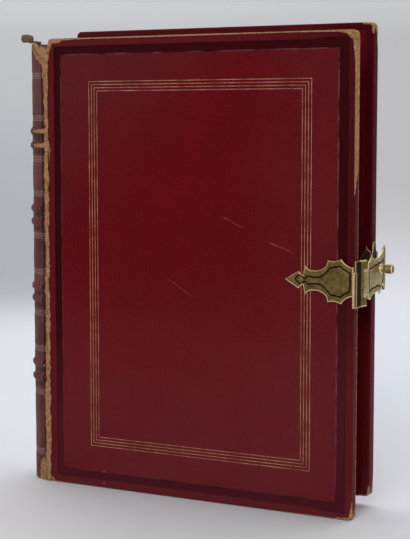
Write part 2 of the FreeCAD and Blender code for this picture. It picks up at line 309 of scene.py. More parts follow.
class Graph:
    """A node tree under construction, with short calls for the nodes that the finishes use."""

    def __init__(self, tree: bpy.types.NodeTree) -> None:
        """Start on a tree.

        Args:
            tree: The tree that the nodes go into.
        """
        self.tree = tree

    def add(self, kind: str, **settings: object) -> bpy.types.Node:
        """Add a node and set its properties by name."""
        node = self.tree.nodes.new(kind)
        for name, setting in settings.items():
            setattr(node, name, setting)
        return node

    def feed(self, target: bpy.types.NodeSocket, source: object) -> None:
        """Link a value, a socket or a plain number or colour into an input.

        Args:
            target: The input.
            source: What goes into it.
        """
        if isinstance(source, Value):
            self.tree.links.new(source.socket, target)
        elif isinstance(source, bpy.types.NodeSocket):
            self.tree.links.new(source, target)
        else:
            target.default_value = source

    def math(self, operation: str, first: "Value | float", second: "Value | float | None" = None) -> Value:
        """Return the result of one arithmetic node."""
        node = self.add("ShaderNodeMath", operation=operation)
        self.feed(node.inputs[0], first)
        if second is not None:
            self.feed(node.inputs[1], second)
        return Value(self, node.outputs[0])

    def noise(self, vector: object, scale: float, detail: float = 2.0, roughness: float = 0.5,
              distortion: float = 0.0) -> Value:
        """Return fractal noise from 0 to 1, with this many lumps to the millimetre."""
        node = self.add("ShaderNodeTexNoise")
        self.feed(node.inputs["Vector"], vector)
        node.inputs["Scale"].default_value = scale
        node.inputs["Detail"].default_value = detail
        node.inputs["Roughness"].default_value = roughness
        node.inputs["Distortion"].default_value = distortion
        return Value(self, node.outputs["Fac"])

    def cells(self, vector: object, scale: float) -> Value:
        """Return the distance to the nearest edge of a pattern of cells."""
        node = self.add("ShaderNodeTexVoronoi", feature="DISTANCE_TO_EDGE")
        self.feed(node.inputs["Vector"], vector)
        node.inputs["Scale"].default_value = scale
        return Value(self, node.outputs["Distance"])

    def stretch(self, vector: object, scale: Point, move: Point = (0.0, 0.0, 0.0)) -> bpy.types.NodeSocket:
        """Return a vector multiplied by a scale in each direction and then moved."""
        node = self.add("ShaderNodeMapping")
        self.feed(node.inputs["Vector"], vector)
        node.inputs["Scale"].default_value = scale
        node.inputs["Location"].default_value = move
        return node.outputs["Vector"]

    def split(self, vector: object) -> tuple[Value, Value, Value]:
        """Return the three parts of a vector."""
        node = self.add("ShaderNodeSeparateXYZ")
        self.feed(node.inputs["Vector"], vector)
        return tuple(Value(self, output) for output in node.outputs)

    def blend(self, share: "Value | float", first: object, second: object) -> bpy.types.NodeSocket:
        """Return a colour between two colours."""
        node = self.add("ShaderNodeMix", data_type="RGBA")
        self.feed(node.inputs[0], share)
        self.feed(node.inputs[6], first)
        self.feed(node.inputs[7], second)
        return node.outputs[2]

    def tint(self, colour: object, amount: Value) -> bpy.types.NodeSocket:
        """Return a colour made lighter or darker by a number around one."""
        node = self.add("ShaderNodeVectorMath", operation="SCALE")
        self.feed(node.inputs[0], colour)
        self.feed(node.inputs["Scale"], amount)
        return node.outputs["Vector"]

    def mark(self) -> Value:
        """Return the mark that the piece's points carry."""
        node = self.add("ShaderNodeAttribute", attribute_name="mark")
        return Value(self, node.outputs["Fac"])

    def book_space(self, book: Book) -> bpy.types.NodeSocket:
        """Return the surface's place in book millimetres."""
        node = self.add("ShaderNodeTexCoord")
        shift = tuple(-part / MM for part in book.origin)
        return self.stretch(node.outputs["Object"], (1.0 / MM, 1.0 / MM, 1.0 / MM), shift)

    def place_group(self, tree: bpy.types.NodeTree, **inputs: object) -> bpy.types.Node:
        """Place a node group and feed its named inputs, where _ in a name stands for a space."""
        node = self.add("ShaderNodeGroup", node_tree=tree)
        for name, source in inputs.items():
            self.feed(node.inputs[name.replace("_", " ")], source)
        return node


class Effect:
    """A shared effect: a node group with named inputs and outputs, built once."""

    def __init__(self, name: str, inputs: dict[str, str], outputs: dict[str, str],
                 build: Callable[[Graph, dict[str, object]], dict[str, object]]) -> None:
        """Build the group.

        Args:
            name: The group's name.
            inputs: Each input's name and kind.
            outputs: Each output's name and kind.
            build: Adds the nodes, given the inputs by name, and returns the outputs by name.
        """
        self.tree = bpy.data.node_groups.new(name, "ShaderNodeTree")
        for socket_name, kind in inputs.items():
            self.tree.interface.new_socket(name=socket_name, in_out="INPUT", socket_type="NodeSocket" + kind)
        for socket_name, kind in outputs.items():
            self.tree.interface.new_socket(name=socket_name, in_out="OUTPUT", socket_type="NodeSocket" + kind)
        graph = Graph(self.tree)
        start = graph.add("NodeGroupInput")
        finish = graph.add("NodeGroupOutput")
        given = {}
        for socket_name, kind in inputs.items():
            socket = start.outputs[socket_name]
            given[socket_name] = Value(graph, socket) if kind == "Float" else socket
        for socket_name, result in build(graph, given).items():
            graph.feed(finish.inputs[socket_name], result)


def build_grain(graph: Graph, given: dict[str, object]) -> dict[str, object]:
    """Build leather grain: pebbles, fine pores and slow blotches.

    Args:
        graph: Where the nodes go.
        given: The group's inputs.

    Returns:
        The height of the grain and the share of blotches.
    """
    place = given["Place"]
    pebbles = graph.cells(place, 0.95).step(0.0, 0.30)
    pores = graph.noise(place, 3.2, 2.0, 0.6)
    creases = graph.noise(graph.stretch(place, (1.0, 1.0, 0.35)), 0.55, 3.0, 0.6, 0.6)
    blotches = graph.noise(place, 0.028, 4.0, 0.62, 0.4)
    height = (pebbles * 0.5 + pores * 0.35 + creases * 0.5) * given["Depth"]
    return {"Height": height, "Blotch": blotches.step(0.32, 0.68)}


def build_wear(graph: Graph, given: dict[str, object]) -> dict[str, object]:
    """Build ragged wear: a mark with its edge broken up at two scales.

    Args:
        graph: Where the nodes go.
        given: The group's inputs.

    Returns:
        The worn share, and the share of the frayed fringe round it.
    """
    place = given["Place"]
    coarse = graph.noise(place, 0.45, 3.0, 0.65)
    fine = graph.noise(place, 2.4, 2.0, 0.6)
    level = given["Mark"] + (coarse - 0.5) * given["Ragged"] + (fine - 0.5) * 0.22
    return {"Worn": level.step(0.47, 0.55), "Fringe": level.step(0.30, 0.48)}


def build_fibres(graph: Graph, given: dict[str, object]) -> dict[str, object]:
    """Build the tan inner hide that shows where the surface has rubbed off.

    Args:
        graph: Where the nodes go.
        given: The group's inputs.

    Returns:
        The colour and the height of the fibres.
    """
    place = given["Place"]
    strands = graph.noise(graph.stretch(place, (1.0, 1.0, 0.30)), 1.5, 4.0, 0.68, 0.5)
    patches = graph.noise(place, 0.22, 3.0, 0.6)
    specks = graph.noise(place, 1.9, 1.0, 0.5).step(0.66, 0.74)
    tan = graph.blend(strands.step(0.32, 0.68), given["Dark"], given["Light"])
    toned = graph.tint(tan, patches * 0.7 + 0.66)
    return {"Colour": graph.blend(specks * 0.55, toned, srgb(62, 34, 24)), "Height": strands}


def build_patina(graph: Graph, given: dict[str, object]) -> dict[str, object]:
    """Build old brass: dull faces, rims rubbed bright with a painted highlight, blotches and fine scratches.

    Args:
        graph: Where the nodes go.
        given: The group's inputs.

    Returns:
        The colour, the roughness and the height.
    """
    place = given["Place"]
    cloud = graph.noise(place, 0.35, 4.0, 0.62, 0.5)
    freckles = graph.noise(place, 1.7, 2.0, 0.6)
    brushed = graph.noise(graph.stretch(place, (0.35, 1.0, 2.6)), 1.8, 2.0, 0.6)
    face = graph.blend(cloud.step(0.3, 0.7), given["Dull"], given["Warm"])
    spotted = graph.blend(freckles.step(0.60, 0.72) * 0.45, face, srgb(46, 36, 20))
    # Rims rubbed bright, with a painted highlight.
    rim = (given["Rim"] + (cloud - 0.5) * 0.35).step(0.35, 0.75)
    colour = graph.blend(rim, spotted, given["Rubbed"])
    rough = cloud * 0.26 + freckles * 0.12 + 0.24 - rim * 0.10
    return {"Colour": colour, "Roughness": rough, "Height": brushed * 0.4 + freckles * 0.3}


class Effects:
    """The effects that more than one finish uses."""

    def __init__(self) -> None:
        """Build each shared effect once."""
        self.grain = Effect("leather_grain", {"Place": "Vector", "Depth": "Float"},
                            {"Height": "Float", "Blotch": "Float"}, build_grain)
        self.wear = Effect("ragged_wear", {"Place": "Vector", "Mark": "Float", "Ragged": "Float"},
                           {"Worn": "Float", "Fringe": "Float"}, build_wear)
        self.fibres = Effect("bare_hide", {"Place": "Vector", "Dark": "Color", "Light": "Color"},
                             {"Colour": "Color", "Height": "Float"}, build_fibres)
        self.patina = Effect("brass_patina", {"Place": "Vector", "Rim": "Float", "Dull": "Color",
                                              "Warm": "Color", "Rubbed": "Color"},
                             {"Colour": "Color", "Roughness": "Float", "Height": "Float"}, build_patina)


@dataclass(frozen=True)
class Scratch:
    """A pale scratch on a cover's face, from one point to another, in book millimetres."""

    start: Flat
    end: Flat
    half_width: float = 0.35


@dataclass(frozen=True)
class GiltFrame:
    """The frame of parallel gilt lines on a cover's face."""

    left: float = 30.9
    right: float = 26.8
    top: float = 26.9
    bottom: float = 26.6
    spacing: float = 1.9
    lines: int = 4
    half_width: float = 0.20
    blur_outside: float = 0.12
    blur_inside: float = 0.06

    def shade(self, across: Value, up: Value, width: float, height: float) -> Value:
        """Return where the gilt lines run.

        Args:
            across: Distance from the joint over the cover.
            up: Height above the cover's lower edge.
            width: The cover's width.
            height: The cover's height.

        Returns:
            One on the lines and zero elsewhere.
        """
        middle_x = (self.left + width - self.right) / 2.0
        middle_z = (self.bottom + height - self.top) / 2.0
        half_x = (width - self.right - self.left) / 2.0
        half_z = (height - self.top - self.bottom) / 2.0
        inside_x = half_x - (across - middle_x).absolute()
        inside_z = half_z - (up - middle_z).absolute()
        inside = inside_x.least(inside_z)
        total: Value | None = None
        for index in range(self.lines):
            offset = (inside - index * self.spacing).absolute()
            line = offset.step(self.half_width + self.blur_outside, self.half_width - self.blur_inside)
            total = line if total is None else total.most(line)
        return total


def principled(name: str) -> tuple[bpy.types.Material, Graph, bpy.types.Node]:
    """Start a material with its surface shader.

    Args:
        name: The material's name.

    Returns:
        The material, its graph and its Principled shader.
    """
    material = bpy.data.materials.new(name)
    material.use_nodes = True
    graph = Graph(material.node_tree)
    shader = material.node_tree.nodes["Principled BSDF"]
    return material, graph, shader


def emboss(graph: Graph, shader: bpy.types.Node, height: object, distance: float, strength: float = 1.0) -> None:
    """Feed a height through a Bump node into a shader's normal.

    Args:
        graph: Where the nodes go.
        shader: The surface shader.
        height: The height, as a share.
        distance: How many millimetres a height of one is.
        strength: How strongly the relief shows.
    """
    bump = graph.add("ShaderNodeBump")
    bump.inputs["Distance"].default_value = distance * MM
    bump.inputs["Strength"].default_value = strength
    graph.feed(bump.inputs["Height"], height)
    graph.feed(shader.inputs["Normal"], bump.outputs["Normal"])


@dataclass(frozen=True)
class Hide:
    """Dyed leather that has faded and worn through to its tan inner side; its tooling adds painted sheen, highlight,
    reflection and shade.
    """

    name: str
    deep: Colour
    bright: Colour
    bare_dark: Colour = srgb(128, 84, 56)
    bare_light: Colour = srgb(196, 150, 108)
    fringe_dye: Colour = srgb(58, 20, 16)
    roughness: float = 0.42
    grain_depth: float = 1.0
    ragged: float = 0.55
    relief: float = 0.80

    def make(self, book: Book, effects: Effects,
             tooling: Callable[[Graph, bpy.types.NodeSocket, object], tuple[object, Value | None]] | None = None
             ) -> bpy.types.Material:
        """Build the material.

        Args:
            book: Gives the place of the millimetres in the frame.
            effects: The shared effects.
            tooling: Adds lines, stains and painted light and shade to the colour, given the graph, the place and the
                colour.

        Returns:
            The finished material.
        """
        material, graph, shader = principled(self.name)
        place = graph.book_space(book)
        grain = graph.place_group(effects.grain.tree, Place=place, Depth=self.grain_depth)
        wear = graph.place_group(effects.wear.tree, Place=place, Mark=graph.mark(), Ragged=self.ragged)
        bare = graph.place_group(effects.fibres.tree, Place=place, Dark=self.bare_dark, Light=self.bare_light)
        height = Value(graph, grain.outputs["Height"])
        worn = Value(graph, wear.outputs["Worn"])
        fringe = Value(graph, wear.outputs["Fringe"])
        dye = graph.blend(Value(graph, grain.outputs["Blotch"]), self.deep, self.bright)
        cloud = graph.noise(place, 0.11, 5.0, 0.65)
        rubs = graph.noise(graph.stretch(place, (1.4, 1.0, 0.12)), 0.35, 3.0, 0.65)
        mottle = graph.noise(place, 0.6, 3.0, 0.75)
        # The grain's height lightens the colour: painted highlight on the pebbles' crowns and painted shade between
        # them.
        dye = graph.tint(dye, cloud * 0.24 + rubs * 0.16 + height * 0.46 + mottle * 0.95 + 0.04)
        relief = height * self.relief
        if tooling is not None:
            dye, sunk = tooling(graph, place, dye)
            if sunk is not None:
                relief = relief - sunk * 0.12
        dark_fringe = graph.blend(fringe * 0.72, dye, self.fringe_dye)
        colour = graph.blend(worn, dark_fringe, bare.outputs["Colour"])
        graph.feed(shader.inputs["Base Color"], colour)
        polish = cloud * 0.16 + rubs * 0.10 + (self.roughness - 0.13)
        graph.feed(shader.inputs["Roughness"], (polish + worn * 0.42).least(0.92))
        shader.inputs["Specular IOR Level"].default_value = 0.05
        bare_height = Value(graph, bare.outputs["Height"])
        emboss(graph, shader, relief + worn * (bare_height * 0.5 - 0.35), 0.45)
        return material


@dataclass(frozen=True)
class CoverTooling:
    """What is drawn on a cover's face: gilt lines, the dark sunken band, scratches and stains, with painted sheen, a
    painted highlight along the band's ridge and a painted reflection in the band.
    """

    width: float
    height: float
    face: float = 0.0
    lift: float = 0.0
    border: float = 5.0
    band: float = 5.0
    gilt: GiltFrame = field(default_factory=GiltFrame)
    scratches: tuple[Scratch, ...] = ()
    specks: tuple[Point, ...] = ()
    gilt_bright: Colour = srgb(194, 142, 112)
    gilt_dull: Colour = srgb(146, 80, 66)
    band_dye: Colour = srgb(52, 0, 3)
    band_floor_reflection: Colour = srgb(80, 24, 34)
    border_dye: Colour = srgb(90, 21, 27)
    border_right: Colour = srgb(62, 4, 10)
    border_sheen_tail: Colour = srgb(96, 34, 42)
    sheen_field_colour: Colour = srgb(84, 50, 50)
    sheen_tail_colour: Colour = srgb(114, 42, 46)
    ridge_highlight: Colour = srgb(132, 82, 88)
    scratch_dye: Colour = srgb(168, 110, 104)
    speck_dye: Colour = srgb(190, 140, 116)

    def __call__(self, graph: Graph, place: bpy.types.NodeSocket, dye: object) -> tuple[object, Value]:
        """Add the drawing to the dyed colour.

        Args:
            graph: Where the nodes go.
            place: The surface's place in book millimetres.
            dye: The colour so far.

        Returns:
            The new colour, and how deep the tooling is pressed in as a share.
        """
        across, depth, up_from_tail = graph.split(place)
        up = up_from_tail - self.lift
        on_face = (depth - self.face).absolute().step(2.0, 1.2)
        from_edge = across.least(self.width - across).least(up).least(self.height - up)
        wobble = (graph.noise(place, 0.08, 2.0) - 0.5) * 0.5
        inset = from_edge + wobble
        inner = self.border + self.band
        slow = graph.noise(place, 0.02, 3.0, 0.55)
        # Painted sheen: the face turns browner towards the upper left, the lower right and the right side, and
        # brighter towards its lower half.
        painted_sheen = (across * 0.8 + (self.height - up)).step(150.0, 20.0)
        painted_sheen = painted_sheen.most((across * 0.9 + (self.height - up)).step(210.0, 420.0) * 0.55)
        painted_sheen = painted_sheen.most(across.step(120.0, 190.0) * 0.55)
        colour = graph.blend(painted_sheen * (slow * 0.5 + 0.10) * on_face, dye, self.sheen_field_colour)
        colour = graph.blend(up.step(150.0, 50.0) * (slow * 0.5 + 0.20) * on_face, colour, self.sheen_tail_colour)
        border = from_edge.step(self.border + 0.2, self.border - 0.5)
        right_top = across.step(150.0, 205.0) * up.step(70.0, 130.0)
        border_colour = graph.blend(right_top, self.border_dye, self.border_right)
        # Painted sheen along the lower border.
        border_colour = graph.blend(up.step(24.0, 6.0), border_colour, self.border_sheen_tail)
        colour = graph.blend(border * 0.72, colour, border_colour)
        outer = across.step(180.0, 190.0) * -1.0 + self.border
        band = (inset - outer).step(-0.25, 0.25) * inset.step(inner + 0.7, inner + 0.2) * on_face
        # The band lightens towards its lower end: a painted reflection of the floor.
        lower = (up - across * 0.25).step(110.0, 20.0)
        band_colour = graph.blend(lower * 0.85, self.band_dye, self.band_floor_reflection)
        colour = graph.blend(band * 0.94, colour, band_colour)
        # Painted highlight along the band's inner ridge, broken up and fainter near the bottom.
        ridge = (inset - inner - 0.2).absolute().step(0.55, 0.15) * on_face
        ridge_highlight_breaks = graph.noise(graph.stretch(place, (1.0, 1.0, 1.0), (7.0, 3.0, 5.0)), 0.06, 3.0, 0.6)
        ridge_highlight_breaks = ridge_highlight_breaks.step(0.36, 0.58) * (1.0 - up.step(60.0, 30.0) * 0.6)
        colour = graph.blend(ridge * ridge_highlight_breaks * 0.55, colour, self.ridge_highlight)
        gilt = self.gilt.shade(across, up, self.width, self.height) * on_face
        patchy = graph.noise(place, 0.09, 5.0, 0.7).step(0.30, 0.66)
        metal = graph.blend(patchy, self.gilt_dull, self.gilt_bright)
        colour = graph.blend(gilt * (patchy * 0.35 + 0.6), colour, metal)
        for scratch in self.scratches:
            colour = graph.blend(self.scrape(graph, place, across, up, scratch) * 0.42, colour, self.scratch_dye)
        for speck_x, speck_z, size in self.specks:
            near_x = (across - speck_x).absolute()
            near_z = (up - speck_z).absolute()
            spot = (near_x + near_z * 0.7).step(size, size * 0.3)
            colour = graph.blend(spot * 0.8, colour, self.speck_dye)
        return colour, gilt

    def scrape(self, graph: Graph, place: bpy.types.NodeSocket, across: Value, up: Value, scratch: Scratch) -> Value:
        """Return where a scratch shows.

        Args:
            graph: Where the nodes go.
            place: The surface's place in book millimetres.
            across: Distance from the joint over the cover.
            up: Height above the cover's lower edge.
            scratch: The scratch.

        Returns:
            One on the scratch and zero elsewhere.
        """
        run_x = scratch.end[0] - scratch.start[0]
        run_z = scratch.end[1] - scratch.start[1]
        length = math.hypot(run_x, run_z)
        along = (across - scratch.start[0]) * (run_x / length) + (up - scratch.start[1]) * (run_z / length)
        beside = (across - scratch.start[0]) * (-run_z / length) + (up - scratch.start[1]) * (run_x / length)
        breaks = graph.noise(place, 0.7, 3.0, 0.7)
        drift = (graph.noise(place, 0.12, 2.0) - 0.5) * 2.2
        thin = (beside + drift).absolute().step(scratch.half_width + 0.3, scratch.half_width - 0.2)
        ends = along.step(0.0, length * 0.3) * along.step(length, length * 0.7)
        return thin * ends * breaks.step(0.40, 0.58)


@dataclass(frozen=True)
class SpineTooling:
    """The fine lines pressed across the spine in groups, painted shade beside its raised bands and in the joint's
    crease, and painted sheen towards its far side.
    """

    groups: tuple[float, ...]
    bands: tuple[float, ...]
    spacing: float = 1.05
    group_half: float = 2.1
    line: Colour = srgb(176, 140, 132)
    shade_and_grime: Colour = srgb(46, 20, 16)
    silhouette_sheen: Colour = srgb(92, 66, 74)

    def __call__(self, graph: Graph, place: bpy.types.NodeSocket, dye: object) -> tuple[object, None]:
        """Add the lines, the painted shade and the painted sheen to the dyed colour.

        Args:
            graph: Where the nodes go.
            place: The surface's place in book millimetres.
            dye: The colour so far.

        Returns:
            The new colour, and nothing pressed in beyond the geometry.
        """
        across, depth, up = graph.split(place)
        rough = graph.noise(place, 0.5, 3.0, 0.6)
        # Painted shade in the crease along the front joint.
        crease = across.step(-5.8, -4.0) * depth.step(12.0, 8.0)
        dye = graph.blend(crease * (rough * 0.4 + 0.6), dye, self.shade_and_grime)
        # Painted sheen towards the spine's far silhouette.
        dye = graph.blend(across.step(-15.0, -20.0) * 0.4, dye, self.silhouette_sheen)
        lines: Value | float = 0.0
        for middle in self.groups:
            offset = up - middle
            ripple = graph.math("COSINE", (offset + self.spacing / 2.0) * (2.0 * math.pi / self.spacing))
            lines = ripple.step(0.2, 0.9) * offset.absolute().step(self.group_half, self.group_half - 0.2) + lines
        shade: Value | float = 0.0
        # Painted shade just below each raised band.
        for band in self.bands:
            shade = (up - band + 3.9).absolute().step(1.7, 0.3) + shade
        colour = graph.blend((shade * (rough * 0.7 + 0.25)).least(0.8), dye, self.shade_and_grime)
        return graph.blend((lines * rough.step(0.22, 0.50)).least(1.0) * 0.85, colour, self.line), None


@dataclass(frozen=True)
class Brass:
    """Old brass with dull faces, rims rubbed bright with a painted highlight, and grime and painted shade where its
    marks are below zero.
    """

    name: str
    dull: Colour = srgb(92, 76, 40)
    warm: Colour = srgb(134, 112, 62)
    rubbed: Colour = srgb(216, 184, 132)
    shade_and_grime_colour: Colour = srgb(22, 17, 10)
    metallic: float = 0.85

    def make(self, book: Book, effects: Effects) -> bpy.types.Material:
        """Build the material.

        Args:
            book: Gives the place of the millimetres in the frame.
            effects: The shared effects.

        Returns:
            The finished material.
        """
        material, graph, shader = principled(self.name)
        place = graph.book_space(book)
        mark = graph.mark()
        patina = graph.place_group(effects.patina.tree, Place=place, Rim=mark, Dull=self.dull, Warm=self.warm,
                                   Rubbed=self.rubbed)
        # Marks below zero darken towards the grime colour: grime in the engraved lines, painted shade on faces that
        # lie in shadow.
        shade_and_grime = mark.step(-0.15, -0.85)
        colour = graph.blend(shade_and_grime * 0.92, patina.outputs["Colour"], self.shade_and_grime_colour)
        graph.feed(shader.inputs["Base Color"], colour)
        shader.inputs["Metallic"].default_value = self.metallic
        rough = Value(graph, patina.outputs["Roughness"])
        graph.feed(shader.inputs["Roughness"], (rough + shade_and_grime * 0.4).least(0.9))
        emboss(graph, shader, patina.outputs["Height"], 0.05, 0.8)
        return material


class Weave(Enum):
    """How the threads of a small woven or papery surface run."""

    PAPER = "paper"
    LEAVES = "leaves"
    THREADS = "threads"
    BOARD = "board"


@dataclass(frozen=True)
class Paper:
    """Paper, pulpboard, thread or the edges of pages, told apart by how the fibres run."""

    name: str
    weave: Weave
    dark: Colour
    light: Colour
    roughness: float = 0.85
    outer_leaves: Flat | None = None
    leaf: Colour = srgb(212, 196, 164)
    foxed: Colour = srgb(178, 152, 112)

    def make(self, book: Book) -> bpy.types.Material:
        """Build the material.

        Args:
            book: Gives the place of the millimetres in the frame.

        Returns:
            The finished material.
        """
        material, graph, shader = principled(self.name)
        place = graph.book_space(book)
        blotch = graph.noise(place, 0.05, 4.0, 0.6)
        fibres = graph.noise(graph.stretch(place, (1.0, 1.0, 0.4)), 1.6, 3.0, 0.65)
        if self.weave is Weave.LEAVES:
            edge = graph.noise(graph.stretch(place, (0.03, 9.0, 0.012)), 1.0, 2.0, 0.7)
            quire = graph.noise(graph.stretch(place, (0.01, 0.9, 0.006)), 1.0, 1.0, 0.5)
            share = edge * 0.7 + quire * 0.45 + blotch * 0.3 - 0.22
            height = edge + quire
        elif self.weave is Weave.THREADS:
            across, depth, _ = graph.split(place)
            slant = graph.math("SINE", (across + depth) * 9.0)
            share = slant * 0.4 + 0.5
            height = slant * 0.5 + fibres
        elif self.weave is Weave.BOARD:
            share = fibres * 0.8 + blotch * 0.3 - 0.05
            height = fibres
        else:
            share = blotch * 0.9 + fibres * 0.3 - 0.1
            height = fibres * 0.6
        colour = graph.blend(share.step(0.1, 0.9), self.dark, self.light)
        if self.outer_leaves is not None:
            _, depth, _ = graph.split(place)
            outer = (depth - self.outer_leaves[0]).least(self.outer_leaves[1] - depth).step(0.30, 0.15)
            colour = graph.blend(outer, colour, graph.blend(blotch * 0.7 + fibres * 0.3, self.foxed, self.leaf))
        graph.feed(shader.inputs["Base Color"], colour)
        graph.feed(shader.inputs["Roughness"], fibres * 0.2 + (self.roughness - 0.1))
        shader.inputs["Specular IOR Level"].default_value = 0.25
        emboss(graph, shader, height, 0.12)
        return material


def along_stops(stops: Sequence[Flat], place: float) -> float:
    """Return the value at a place along an edge, between the two stops that it lies between.

    Args:
        stops: Places and their values, in order.
        place: Where to read.

    Returns:
        The value there.
    """
    if place <= stops[0][0]:
        return stops[0][1]
    for (first, low), (second, high) in zip(stops, stops[1:]):
        if place <= second:
            return low + (high - low) * (place - first) / (second - first)
    return stops[-1][1]


def near_mark(distance: float, reach: float, soft: float) -> float:
    """Return a wear mark: one half where the distance equals the reach, and more inside it.

    Args:
        distance: Distance from the middle of the worn place.
        reach: How far the wear reaches.
        soft: How wide the ragged fringe is.

    Returns:
        The mark between zero and one.
    """
    return min(max(0.5 + (reach - distance) / (2.0 * soft), 0.0), 1.0)


@dataclass(frozen=True)
class Patch:
    """A worn patch on a cover, as a box of this half size round a point of the face."""

    x: float
    z: float
    half_x: float
    half_z: float
    reach: float = 0.5
    soft: float = 1.0

    def mark(self, x: float, z: float) -> float:
        """Return the patch's wear mark at a point of the face."""
        beyond_x = max(abs(x - self.x) - self.half_x, 0.0)
        beyond_z = max(abs(z - self.z) - self.half_z, 0.0)
        return near_mark(math.hypot(beyond_x, beyond_z), self.reach, self.soft)


@dataclass(frozen=True)
class EdgeWear:
    """How far the wear reaches from an edge, over the face and down the side, by place along it."""

    face: tuple[Flat, ...]
    side: tuple[Flat, ...]
    soft: float = 0.55

    def mark(self, place: float, over: float, down: float) -> float:
        """Return the edge's wear mark.

        Args:
            place: Place along the edge.
            over: Distance in over the face.
            down: Distance down the side.

        Returns:
            The mark between zero and one.
        """
        reach = along_stops(self.side if down > over else self.face, place)
        return near_mark(math.hypot(over, down), reach, self.soft)


@dataclass
class Cover:
    """A cover's leather with its sunken band, its worn edges and its turned-in edges inside."""

    name: str
    node: str
    body: str
    book: Book
    width: float
    low: float
    front: bool
    top_wear: EdgeWear
    bottom_wear: EdgeWear
    fore_wear: EdgeWear
    joint_wear: EdgeWear
    patches: tuple[Patch, ...] = ()
    inside_reach: float = 0.0
    corner_radius: float = 3.0
    spacing: float = 1.1
    rings: tuple[Flat, ...] = (
        (30.0, 0.0), (11.3, 0.0), (10.7, -0.03), (10.35, 0.0), (10.05, 0.14), (9.8, 0.42), (9.5, 0.5), (7.5, 0.5),
        (5.5, 0.5), (5.2, 0.42), (4.95, 0.12), (4.7, 0.0), (4.4, -0.03), (3.9, 0.0), (3.2, 0.0), (2.5, 0.0),
        (1.9, 0.01), (1.4, 0.03), (1.0, 0.09), (0.7, 0.17), (0.45, 0.3), (0.25, 0.46), (0.1, 0.68), (0.02, 0.95),
        (0.0, 1.4), (0.0, 2.1), (0.0, 2.9), (0.0, 3.7), (0.0, 4.5), (0.0, 5.3), (0.0, 6.0), (0.06, 6.6),
        (0.3, 7.05), (0.8, 7.27), (1.6, 7.3), (4.0, 7.3), (9.0, 7.3), (13.6, 7.3), (14.0, 7.2), (14.0, 6.35),
        (1.05, 6.35), (0.95, 6.25), (0.95, 0.98))

    def ring(self, inset: float) -> list[Flat]:
        """Return the points of a rounded rectangle this far inside the cover's outline.

        Args:
            inset: Distance from the outline.

        Returns:
            The X and Z of each point; every ring has the same number of points.
        """
        top = self.low + self.book.height
        radius = max(self.corner_radius - inset, 0.4)
        points: list[Flat] = []
        corners = ((self.width - inset, self.low + inset, -90.0), (self.width - inset, top - inset, 0.0),
                   (inset, top - inset, 90.0), (inset, self.low + inset, 180.0))
        steps = 10
        arcs = []
        for x, z, start in corners:
            centre_x = x - radius if x > self.width / 2.0 else x + radius
            centre_z = z - radius if z > self.book.height / 2.0 else z + radius
            arcs.append([(centre_x + radius * math.cos(math.radians(start + 90.0 * step / steps)),
                          centre_z + radius * math.sin(math.radians(start + 90.0 * step / steps)))
                         for step in range(steps + 1)])
        spans = (self.book.height, self.width, self.book.height, self.width)
        for index, arc in enumerate(arcs):
            points.extend(arc)
            after = arcs[(index + 1) % 4][0]
            count = int(spans[index] / self.spacing)
            for step in range(1, count):
                share = step / count
                points.append((arc[-1][0] + (after[0] - arc[-1][0]) * share,
                               arc[-1][1] + (after[1] - arc[-1][1]) * share))
        return points

    def mark(self, x: float, z: float, down: float) -> float:
        """Return how worn the leather is at a point.

        Args:
            x: Distance from the joint.
            z: Height.
            down: Depth below the face.

        Returns:
            The wear mark.
        """
        top = self.low + self.book.height
        edges = (self.top_wear.mark(x, top - z, down), self.bottom_wear.mark(x, z - self.low, down),
                 self.fore_wear.mark(z - self.low, self.width - x, down),
                 self.joint_wear.mark(z - self.low, x, down))
        corner = smooth(min(z - self.low, top - z), 8.0, 3.0) * smooth(self.width - x, 8.0, 5.0)
        inside = near_mark(math.hypot(min(x, self.width - x, z - self.low, top - z),
                                      self.book.cover_thickness - down), self.inside_reach + 2.4 * corner, 0.6)
        patches = [patch.mark(x, z - self.low) for patch in self.patches if down < 1.0]
        return max(max(edges), inside, *patches, 0.0)

    def build(self, material: bpy.types.Material) -> bpy.types.Object:
        """Build the leather and put it in the place of its CAD solid.

        Args:
            material: The leather.

        Returns:
            The new piece.
        """
        shell = Shell()
        loops = []
        for inset, down in self.rings:
            depth = down if self.front else self.book.thickness - down
            points = self.ring(inset)
            marks = [self.mark(x, z, down) if inset < 12.0 and down < 7.29 else 0.0 for x, z in points]
            loops.append(shell.loop([(x, depth, z) for x, z in points], marks))
        shell.stack(loops)
        shell.fill([loops[0]])
        shell.fill([loops[-1]])
        piece = shell.make(self.name, self.book, material, sink=0.22)
        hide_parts(self.node)
        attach(piece, self.body)
        return piece


